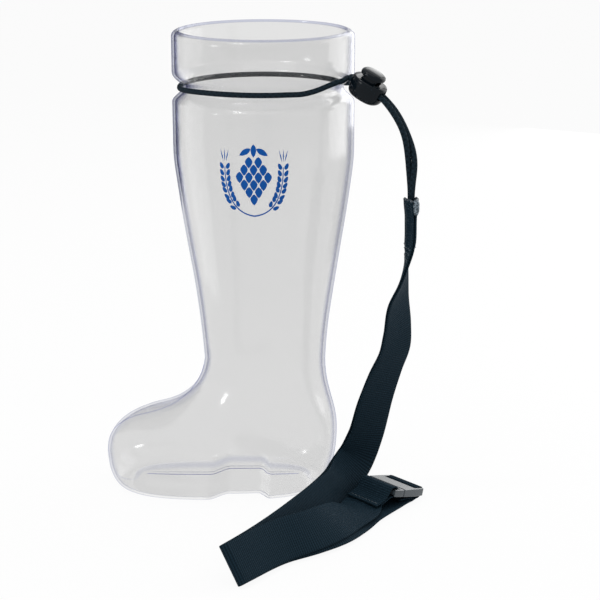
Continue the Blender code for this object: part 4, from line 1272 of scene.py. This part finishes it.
# Front of the wall under its top layer, from near the fold to the clip
WALL_FRONT = [
    (0.0120, -0.1230, 0.0117, -31, 52),
    (0.0300, -0.1100, 0.0110, -34, 45),
    (0.0420, -0.0985, 0.0098, -36, 38),
    (0.0513, -0.0821, 0.0068, -38, 24),
    (0.0600, -0.0643, 0.0034, -38, 6),
    (0.0685, -0.0518, 0.0026, -40, 2),
    (0.0746, -0.0433, 0.0025, -42, 2),
    (0.0804, -0.0348, 0.0026, -44, 3),
]
# The top layer over it: lift off the layer below and shift towards the upper edge
TOP_LAYER = [(0.0016, 0.0010), (0.0017, 0.0020), (0.0018, 0.0030), (0.0020, 0.0035), (0.0028, 0.0020)]

# Half widths between which the layers close beside the sewn cord ends, and the face that each has its mate on
TUNNEL = (0.0038, 0.0074)
END_FLARE = 0.0009
END_FLARES_OVER = 0.012
# How much lower the cut end lies at its far edge, and over what length that fades
CUT_SLANT = (0.006, 0.018)
MATES = {"plug": 1, "socket": -1}

# Middle of the webbing where it just clears a bar, along and above the bar's own middle
BAR_WIDE = BAR_SIZE / 2 + CLEARANCE + STRAP_THICKNESS / 2
BAR_HIGH = BAR_HEIGHT / 2 + CLEARANCE + STRAP_THICKNESS / 2


def plug_loop():
    """Places along and above the clip: in from the floor, round the plug's bar and back to a sewn end."""
    way_in = [(-0.0120, -0.0088), (-0.0070, -0.0058), (-0.0030, -0.0033)]
    turn = [
        (0.5, -1.05), (1.05, -0.8), (1.3, 0.0), (1.3, 0.8), (0.9, 1.5), (0.1, 1.75), (-0.9, 1.6),
        (-1.7, 0.9), (-2.1, -0.2),
    ]
    sewn_end = [(-0.0060, -0.0031), (-0.0085, -0.0050), (-0.0120, -0.0071), (-0.0148, -0.0081)]
    return way_in + [(a * BAR_WIDE, b * BAR_HIGH) for a, b in turn] + sewn_end


def socket_loop():
    """The same at the socket: under it, round its far bar and back to a sewn end below."""
    bar = BAR_SIZE + PLUG_SLOT + PLUG_SHOULDER + CLEARANCE + SOCKET_BODY + SOCKET_SLOT
    turn = [
        (0.8, -1.3), (1.25, -0.3), (1.2, 0.5), (0.8, 1.15), (-0.2, 1.35), (-1.15, 0.8), (-1.5, -0.6),
    ]
    sewn_end = [(-0.0050, -0.0036), (-0.0110, -0.0045), (-0.0170, -0.0053)]
    places = [(-0.0040, -0.0052)] + [(a * BAR_WIDE, b * BAR_HIGH) for a, b in turn] + sewn_end
    return [(bar + along, above) for along, above in places]


def loop_stations(frame_matrix, places):
    """Stations in the clip's own lengthwise plane, across its bars."""
    side = -(frame_matrix.to_3x3() @ Vector((0, 1, 0)))
    return [(frame_matrix @ Vector((s, 0, n)), side) for s, n in places]


def join_top():
    """Middle of the sewn end, where the cord goes in between the layers."""
    return arc_point(math.pi / 2) - TAIL_DROP * UP


def hanging_stations():
    """Stations of the middle of the pair, from the sewn end down."""
    top = join_top()
    foot = LEG + Vector(HANGING_FOOT)
    made = [(top, side_of(math.degrees(JOIN_BEARING), 0))]
    for share, bow_x, bow_y, bearing, dip in HANGING:
        made.append((foot.lerp(top, share) + Vector((bow_x, bow_y, 0)), side_of(bearing, dip)))
    return made


def listed_stations(rows):
    return [(LEG + Vector(row[:3]), side_of(row[3], row[4])) for row in rows]


def fill_in(stations):
    """More stations on a smooth run through the given ones."""
    rows = [Vector((*place, *side)) for place, side in stations]
    return [(Vector(row[:3]), Vector(row[3:]).normalized()) for row in spline(rows, STRAP_SPACING)]


def square_up(stations):
    """(place, side, face) of each station, with side and face square to the run."""
    made = []
    for i, (place, side) in enumerate(stations):
        before = stations[max(i - 1, 0)][0]
        after = stations[min(i + 1, len(stations) - 1)][0]
        ahead = (after - before).normalized()
        side = (side - side.dot(ahead) * ahead).normalized()
        made.append((place, side, ahead.cross(side)))
    return made


def moved(stations, distances):
    """The stations shifted along their faces by a distance each."""
    return [(place + distance * face, side)
            for (place, side, face), distance in zip(square_up(stations), distances)]


def room_for_cord(place):
    """How much further a layer stands off its mate where the cord ends are sewn in between."""
    sewn = CORD_RADIUS + 1.4 * CLEARANCE + STRAP_THICKNESS / 2
    below = (join_top().z - place.z - TAIL_SEWN) / TAIL_SEWN
    return (sewn - LAYER / 2) * (1 - smooth(2 * below))


def cut_slant(place, across):
    """How much lower the webbing lies at a column near its top end, which was cut askew."""
    low, over = CUT_SLANT
    return low * smooth(2 * across / STRAP_WIDTH) * smooth(1 - (join_top().z - place.z) / over)


def drawn_in(across):
    """Share of that room which the stitches take back, beside the cord ends."""
    return smooth((abs(across) - TUNNEL[0]) / (TUNNEL[1] - TUNNEL[0]))


def pair_gaps(stations):
    """Half the spacing of the pair's layers: wide round the sewn cord ends and in the turn."""
    turn = LEG + Vector(HANGING_FOOT)
    made = []
    for place, _ in stations:
        loose = TURN_SPREAD * smooth(1.3 - (place - turn).length / TURN_LENGTH)
        flare = END_FLARE * smooth(1 - (join_top().z - place.z) / END_FLARES_OVER)
        made.append(LAYER / 2 + room_for_cord(place) + flare + loose)
    return made


def fold(back, front, ahead, steps=12):
    """Stations round a fold, between the ends of a back layer and a front layer."""
    middle = (front[0] + back[0]) / 2
    spread = (front[0] - back[0]) / 2
    out = (ahead - ahead.project(spread)).normalized() * spread.length
    made = []
    for i in range(1, steps):
        turn = math.pi * i / steps
        made.append((middle - math.cos(turn) * spread + math.sin(turn) * out, back[1]))
    return made


def strap_routes():
    """The two straps' stations, each as its fall from the cord and its run from the fold to the clip."""
    pair = fill_in(hanging_stations() + listed_stations(WALL_BACK))
    gaps = pair_gaps(pair)
    near_layer = moved(pair, gaps)
    far_layer = moved(pair, [-gap for gap in gaps])
    end, end_side, end_face = square_up(pair)[-1]
    ahead = end - pair[-2][0]
    under_end = (end + (LAYER / 2 + FOLD_SPREAD) * end_face, end_side)
    front_end = (under_end[0] + LAYER * end_face, end_side)
    under = [under_end] + listed_stations(WALL_FRONT)
    top_layer = [
        (place - lift * face - shift * side, side)
        for (place, side, face), (lift, shift) in zip(square_up(under)[1:], TOP_LAYER)
    ]
    here = clip_frame()
    front = fill_in([front_end] + top_layer + loop_stations(here, plug_loop()))
    outer = fold(far_layer[-1], front_end, ahead)
    lower = fill_in(under + loop_stations(here, socket_loop()))
    inner = fold(near_layer[-1], under_end, ahead)
    half = len(outer) // 2
    return {
        "plug_fall": far_layer + outer[:half + 1],
        "plug_run": outer[half:] + front,
        "socket_fall": near_layer + inner[:half + 1],
        "socket_run": inner[half:] + lower,
    }


def webbing_section():
    """The webbing's section: (across, above) points round it, with round selvedges."""
    flat = STRAP_WIDTH / 2 - STRAP_THICKNESS / 2
    thick = STRAP_THICKNESS / 2
    columns = 13
    across = [flat * (2 * i / (columns - 1) - 1) for i in range(columns)]
    made = [(x, -thick) for x in across]
    for turn in (-45, 0, 45):
        made.append((flat + thick * math.cos(math.radians(turn)), thick * math.sin(math.radians(turn))))
    made += [(x, thick) for x in reversed(across)]
    for turn in (135, 180, 225):
        made.append((-flat + thick * math.cos(math.radians(turn)), thick * math.sin(math.radians(turn))))
    return made


def ribbon(stations, start, mate):
    """A closed ribbon of webbing through the stations, with a UV map in metres that begins at start.

    Its mate lies on the side of its face that mate, 1 or -1, tells, and its edges are sewn down to it.
    """
    section = webbing_section()
    rings = []
    for place, side, face in square_up(stations):
        pull = mate * room_for_cord(place)
        rings.append([place + x * side + (h + pull * drawn_in(x)) * face - cut_slant(place, x) * UP
                      for x, h in section])
    shape, made = loft(rings)
    along = [start + length for length in lengths_along([place for place, _ in stations])]
    lay_uv(shape, made, [x for x, _ in section], along)
    return shape


class BEERBOOT_OT_straps(bpy.types.Operator):
    """Lay the two webbing straps: down from the cord, round the fold and to the clip"""

    bl_idname = "beerboot.straps"
    bl_label = "Webbing straps"

    def execute(self, context):
        webbing = ribbed_webbing(context.scene.beerboot_strap)
        routes = strap_routes()
        for half, mate in MATES.items():
            start = 0.0
            for part in ("fall", "run"):
                stations = routes[f"{half}_{part}"]
                path = [place for place, _ in stations]
                length = lengths_along(path)[-1]
                name = f"strap_{half}_side_{part}"
                strap = add_piece(name, ribbon(stations, start, mate), webbing, smooth_angle=60)
                if name == "strap_plug_side_run":
                    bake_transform(strap)
                    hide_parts("strap_plug_side")
                else:
                    stands_for(strap, "boot", "black_webbing", f"strap_{half}_side")
                start += length
        return {"FINISHED"}


# Sewing: rows of stitches, and the heat-cut ends of the webbing

STITCH_LENGTH = 0.0021
STITCH_PITCH = 0.0027
STITCH_WIRE = 0.00022
STITCH_PROUD = 0.00022
END_ROW = 0.0022
TACK_ROWS = (0.0285, 0.0312, 0.0350, 0.0377)
MELT_RADIUS = 0.00062
# Lump where the near layer's corner melted and frayed: half sizes across, along and off the webbing, and its place
LUMP_SIZE = (0.0022, 0.0048, 0.0021)
LUMP_PLACE = (-0.0112, 0.0032, -0.0006)
LUMP_ROUGH = (0.22, 0.0013)


def station_at(stations, distance):
    """(place, side, face) at a distance along the run."""
    squared = square_up(stations)
    along = lengths_along([place for place, _ in stations])
    i = max(k for k, length in enumerate(along[:-1]) if length <= distance)
    share = (distance - along[i]) / (along[i + 1] - along[i])
    place, side, face = (here.lerp(ahead, share) for here, ahead in zip(squared[i], squared[i + 1]))
    return place, side.normalized(), face.normalized()


def stitch_row(station, outer, mate, count):
    """Stitches across the webbing, on the face that outer, 1 or -1, tells."""
    place, side, face = station
    pull = mate * room_for_cord(place)
    made = []
    for i in range(count):
        middle = (i - (count - 1) / 2) * STITCH_PITCH
        points = []
        for k in range(7):
            t = k / 3 - 1
            across = middle + t * STITCH_LENGTH / 2
            height = STRAP_THICKNESS / 2 + STITCH_PROUD * (1 - 1.8 * t * t)
            points.append(place + across * side + (outer * height + pull * drawn_in(across)) * face)
        made.append(tube(points, STITCH_WIRE, 8))
    return made


def melted_end(station, mate, draw):
    """The lumpy bead that a hot knife leaves along a cut end."""
    place, side, face = station
    pull = mate * room_for_cord(place)
    steps = 22
    points = []
    radii = []
    for i in range(steps + 1):
        across = (2 * i / steps - 1) * (STRAP_WIDTH / 2 - MELT_RADIUS)
        lump = draw.uniform(-0.1, 0.1) * MELT_RADIUS
        off = lump + pull * drawn_in(across)
        points.append(place + across * side + off * face - cut_slant(place, across) * UP)
        radii.append(MELT_RADIUS * draw.uniform(0.8, 1.15))
    return tube(points, radii, 10)


def melted_lump(station):
    """The frayed and melted corner of the near layer, an uneven lump on its edge."""
    place, side, face = station
    edge, drop, off = LUMP_PLACE
    pull = MATES["socket"] * room_for_cord(place) * drawn_in(edge)
    middle = place + edge * side - drop * UP + (off + pull) * face
    shape = bmesh.new()
    bmesh.ops.create_icosphere(shape, subdivisions=4, radius=1)
    for vert in shape.verts:
        across, along, off = (size * part for size, part in zip(LUMP_SIZE, vert.co))
        spot = across * side - along * UP + off * face
        vert.co = middle + spot * (1 + LUMP_ROUGH[0] * noise.noise(spot / LUMP_ROUGH[1]))
    for part in shape.faces:
        part.material_index = 1
    return shape


class BEERBOOT_OT_sewing(bpy.types.Operator):
    """Sew the webbing's ends: stitches at the clip and at the cord, and heat-cut ends"""

    bl_idname = "beerboot.sewing"
    bl_label = "Stitches and cut ends"

    def execute(self, context):
        settings = context.scene.beerboot_strap
        routes = strap_routes()
        thread = thread_material("polyester_thread", settings.thread)
        lengths = {name: lengths_along([place for place, _ in route])[-1] for name, route in routes.items()}
        flap = station_at(routes["plug_run"], lengths["plug_run"] - END_ROW)
        upper = 1 if flap[2].dot(UP) > 0 else -1
        end = add_piece("stitches_at_clip", joined(stitch_row(flap, upper, MATES["plug"], 8)), thread)
        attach(end, "plug")
        tacks = []
        for half, mate in MATES.items():
            for distance in TACK_ROWS:
                tacks += stitch_row(station_at(routes[f"{half}_fall"], distance), -mate, mate, 8)
        join = add_piece("stitches_at_cord", joined(tacks), thread)
        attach(join, "boot")
        draw = random.Random(11)
        beads = [melted_end(square_up(routes[f"{half}_fall"])[0], mate, draw) for half, mate in MATES.items()]
        beads.append(melted_lump(square_up(routes["socket_fall"])[0]))
        cut = add_piece("cut_ends", joined(beads),
                        melted_polyester("melted_polyester", settings.colour, settings.thread))
        cut.data.materials.append(melted_polyester("frayed_polyester", settings.colour, settings.melted))
        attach(cut, "boot")
        return {"FINISHED"}


# Clip, in its own frame: X from the plug's bar to the socket's bar, Z up

def frame_block(outline, height):
    """A block that narrows along X: its outline is (x, width) from one end to the other."""
    corners = ((-1, -1), (1, -1), (1, 1), (-1, 1))
    shape, _ = loft([[Vector((x, a * width / 2, b * height / 2)) for a, b in corners] for x, width in outline])
    return shape


def bar_cutter(slot_edge, bar_face, past):
    """The room round a bar: the slot beside it, and what thins the bar from above and below."""
    high, thick = SOCKET_HEIGHT, BAR_HEIGHT / 2
    outline = [(past, high), (slot_edge, high), (slot_edge, -high), (past, -high),
               (past, -thick), (bar_face, -thick), (bar_face, thick), (past, thick)]
    shape, _ = loft([[Vector((x, y, z)) for x, z in outline] for y in (-SLOT_WIDTH / 2, SLOT_WIDTH / 2)])
    return shape


class BEERBOOT_OT_clip(bpy.types.Operator):
    """Build the clip: the plug with its tongue, and the socket"""

    bl_idname = "beerboot.clip"
    bl_label = "Clip"

    def execute(self, context):
        settings = context.scene.beerboot_hardware
        here = clip_frame()
        black = moulded_plastic("moulded_nylon", settings.clip_colour, 0.17, 0.0009, 0.6)
        bar_end = BAR_SIZE / 2
        plug_face = bar_end + PLUG_SLOT + PLUG_SHOULDER
        tongue_end = plug_face + TONGUE_LENGTH
        mouth = plug_face + CLEARANCE
        socket_back = mouth + SOCKET_BODY
        socket_end = socket_back + SOCKET_SLOT + BAR_SIZE

        outline = [(-bar_end, CLIP_END_WIDTH), (bar_end + PLUG_SLOT / 2, CLIP_WIDTH), (plug_face, CLIP_WIDTH)]
        plug = add_piece("clip_plug_half", frame_block(outline, PLUG_HEIGHT), black)
        carve(plug, [block(plug_face - CUT_PAST / 2, tongue_end, TONGUE_WIDTH, TONGUE_HEIGHT)], "UNION")
        carve(plug, [bar_cutter(bar_end + PLUG_SLOT, bar_end, -BAR_SIZE)]).data.transform(here)
        round_edges(plug, settings.edge)
        stands_for(plug, "plug", "clip_plastic", "clip_plug")

        outline = [(mouth, CLIP_WIDTH), (socket_back, CLIP_WIDTH), (socket_end, CLIP_END_WIDTH)]
        socket = add_piece("clip_socket_half", frame_block(outline, SOCKET_HEIGHT), black)
        pocket = block(mouth - CUT_PAST, tongue_end + CLEARANCE, TONGUE_WIDTH + 2 * CLEARANCE,
                       TONGUE_HEIGHT + 2 * CLEARANCE)
        far_slot = bar_cutter(socket_back, socket_back + SOCKET_SLOT, socket_end + BAR_SIZE)
        carve(socket, [pocket, far_slot]).data.transform(here)
        round_edges(socket, settings.edge)
        stands_for(socket, "boot", "clip_plastic", "clip_socket")
        return {"FINISHED"}


# Stage

FLAG_PLACE = (-0.20, 0.34, 0.28)
FLAG_SIZE = (0.30, 0.40)
FLAG_TURN = math.radians(25)


class BEERBOOT_OT_stage(bpy.types.Operator):
    """Set up the pale floor, the soft light and the camera"""

    bl_idname = "beerboot.stage"
    bl_label = "Studio"

    def execute(self, context):
        settings = context.scene.beerboot_stage
        shape = bmesh.new()
        bmesh.ops.create_circle(shape, cap_ends=True, segments=96, radius=6.0)
        floor = add_piece("studio_floor", shape, floor_material(settings))
        flag = bmesh.new()
        bmesh.ops.create_grid(flag, x_segments=1, y_segments=1, size=0.5,
                              matrix=Matrix.LocRotScale(Vector(FLAG_PLACE), Euler((math.pi / 2, 0, FLAG_TURN)),
                                                        Vector((*FLAG_SIZE, 1))))
        card = add_piece("black_flag", flag, black_card())
        card.visible_camera = False
        card.visible_diffuse = False
        card.visible_transmission = False
        card.visible_shadow = False
        studio_world(context.scene)
        add_light("soft_box", (-0.1, -0.3, 1.6), (0.02, 0.0, 0.1), (1.2, 1.2), settings.soft_box)
        add_light("side_panel", (0.85, 0.31, 0.40), (0.02, 0.0, 0.18), (0.7, 1.0), settings.panel)
        add_light("edge_light", (0.55, 1.1, 0.40), (0.02, 0.0, 0.18), (0.5, 1.2), settings.edge_light)
        add_light("top_light", (-0.35, -0.35, 1.1), (0.05, 0.0, 0.2), (0.2, 0.2), settings.top_light)
        add_light("key", (-0.95, -0.55, 0.35), (0.0, 0.0, 0.1), (0.16, 0.16), settings.key)
        camera = bpy.data.objects.new("camera", bpy.data.cameras.new("camera"))
        context.scene.collection.objects.link(camera)
        camera.location = CAMERA_PLACE
        camera.rotation_euler = (math.pi / 2 - CAMERA_TILT, 0, 0)
        camera.data.sensor_width = CAMERA_SENSOR
        camera.data.lens = CAMERA_LENS
        context.scene.camera = camera
        context.scene.view_settings.view_transform = "Standard"
        return {"FINISHED"}


def seen_directly(tree):
    """The share of rays that show the background: from the camera, in gloss and through the clear wall."""
    path = add_node(tree, "ShaderNodeLightPath")
    first = add_node(tree, "ShaderNodeMath", {"operation": "MAXIMUM"})
    tree.links.new(path.outputs["Is Camera Ray"], first.inputs[0])
    tree.links.new(path.outputs["Is Glossy Ray"], first.inputs[1])
    both = add_node(tree, "ShaderNodeMath", {"operation": "MAXIMUM"})
    tree.links.new(first.outputs["Value"], both.inputs[0])
    tree.links.new(path.outputs["Is Transmission Ray"], both.inputs[1])
    return both


def floor_material(settings):
    """White studio floor: reads as white to the eye and keeps a soft share of the shadow."""
    made, tree, output = new_material("white_studio_floor")
    paint = add_node(tree, "ShaderNodeBsdfDiffuse", {"Color": (*settings.floor, 1)})
    glow = add_node(tree, "ShaderNodeEmission", {"Color": (1, 1, 1, 1), "Strength": 1.0})
    share = add_node(tree, "ShaderNodeMath", {"operation": "MULTIPLY"})
    tree.links.new(seen_directly(tree).outputs["Value"], share.inputs[0])
    share.inputs[1].default_value = 0.93
    mixed = add_node(tree, "ShaderNodeMixShader")
    tree.links.new(share.outputs["Value"], mixed.inputs["Fac"])
    tree.links.new(paint.outputs["BSDF"], mixed.inputs[1])
    tree.links.new(glow.outputs["Emission"], mixed.inputs[2])
    tree.links.new(mixed.outputs["Shader"], output.inputs["Surface"])
    return made


def black_card():
    """Black card beside a clear vessel, which only its gloss mirrors, and which gives it a dark edge."""
    made, tree, output = new_material("black_card")
    paint = add_node(tree, "ShaderNodeBsdfDiffuse", {"Color": (0.02, 0.02, 0.03, 1)})
    tree.links.new(paint.outputs["BSDF"], output.inputs["Surface"])
    return made


def studio_world(scene):
    world = bpy.data.worlds.new("studio")
    world.use_nodes = True
    tree = world.node_tree
    tree.nodes.clear()
    output = tree.nodes.new("ShaderNodeOutputWorld")
    level = add_node(tree, "ShaderNodeMapRange", {"To Min": 0.5, "To Max": 1.0},
                     Value=seen_directly(tree).outputs["Value"])
    sky = add_node(tree, "ShaderNodeBackground", {"Color": (1, 1, 1, 1)}, Strength=level.outputs["Result"])
    tree.links.new(sky.outputs["Background"], output.inputs["Surface"])
    scene.world = world


def add_light(name, place, target, size, power):
    light = bpy.data.lights.new(name, "AREA")
    light.shape = "RECTANGLE"
    light.size, light.size_y = size
    light.energy = power
    lamp = bpy.data.objects.new(name, light)
    bpy.context.scene.collection.objects.link(lamp)
    lamp.location = place
    lamp.rotation_euler = (Vector(target) - Vector(place)).to_track_quat("-Z", "Y").to_euler()


class BEERBOOT_PT_panel(bpy.types.Panel):
    """Lists the pieces of the beer boot and its studio"""

    bl_idname = "BEERBOOT_PT_panel"
    bl_label = "Beer boot"
    bl_space_type = "VIEW_3D"
    bl_region_type = "UI"
    bl_category = "Beer boot"

    def draw(self, context):
        for operator in OPERATORS:
            self.layout.operator(operator.bl_idname)


SETTINGS = {
    "beerboot_shell": ShellSettings,
    "beerboot_cord": CordSettings,
    "beerboot_strap": StrapSettings,
    "beerboot_hardware": HardwareSettings,
    "beerboot_stage": StageSettings,
}
OPERATORS = (
    BEERBOOT_OT_stage,
    BEERBOOT_OT_cord,
    BEERBOOT_OT_straps,
    BEERBOOT_OT_lock,
    BEERBOOT_OT_clip,
    BEERBOOT_OT_sewing,
    BEERBOOT_OT_shell,
    BEERBOOT_OT_print,
)


def register():
    for group in SETTINGS.values():
        bpy.utils.register_class(group)
    for name, group in SETTINGS.items():
        setattr(bpy.types.Scene, name, PointerProperty(type=group))
    for operator in OPERATORS:
        bpy.utils.register_class(operator)
    bpy.utils.register_class(BEERBOOT_PT_panel)


def unregister():
    bpy.utils.unregister_class(BEERBOOT_PT_panel)
    for operator in reversed(OPERATORS):
        bpy.utils.unregister_class(operator)
    for name, group in SETTINGS.items():
        delattr(bpy.types.Scene, name)
        bpy.utils.unregister_class(group)


def main():
    for item in list(bpy.data.objects):
        if item.name in ("Cube", "Light", "Camera"):
            bpy.data.objects.remove(item, do_unlink=True)
    register()
    bpy.ops.beerboot.stage()
    bpy.ops.beerboot.cord()
    bpy.ops.beerboot.straps()
    bpy.ops.beerboot.lock()
    bpy.ops.beerboot.clip()
    bpy.ops.beerboot.sewing()
    bpy.ops.beerboot.shell()
    bpy.ops.beerboot.print()


if __name__ == "__main__":
    main()
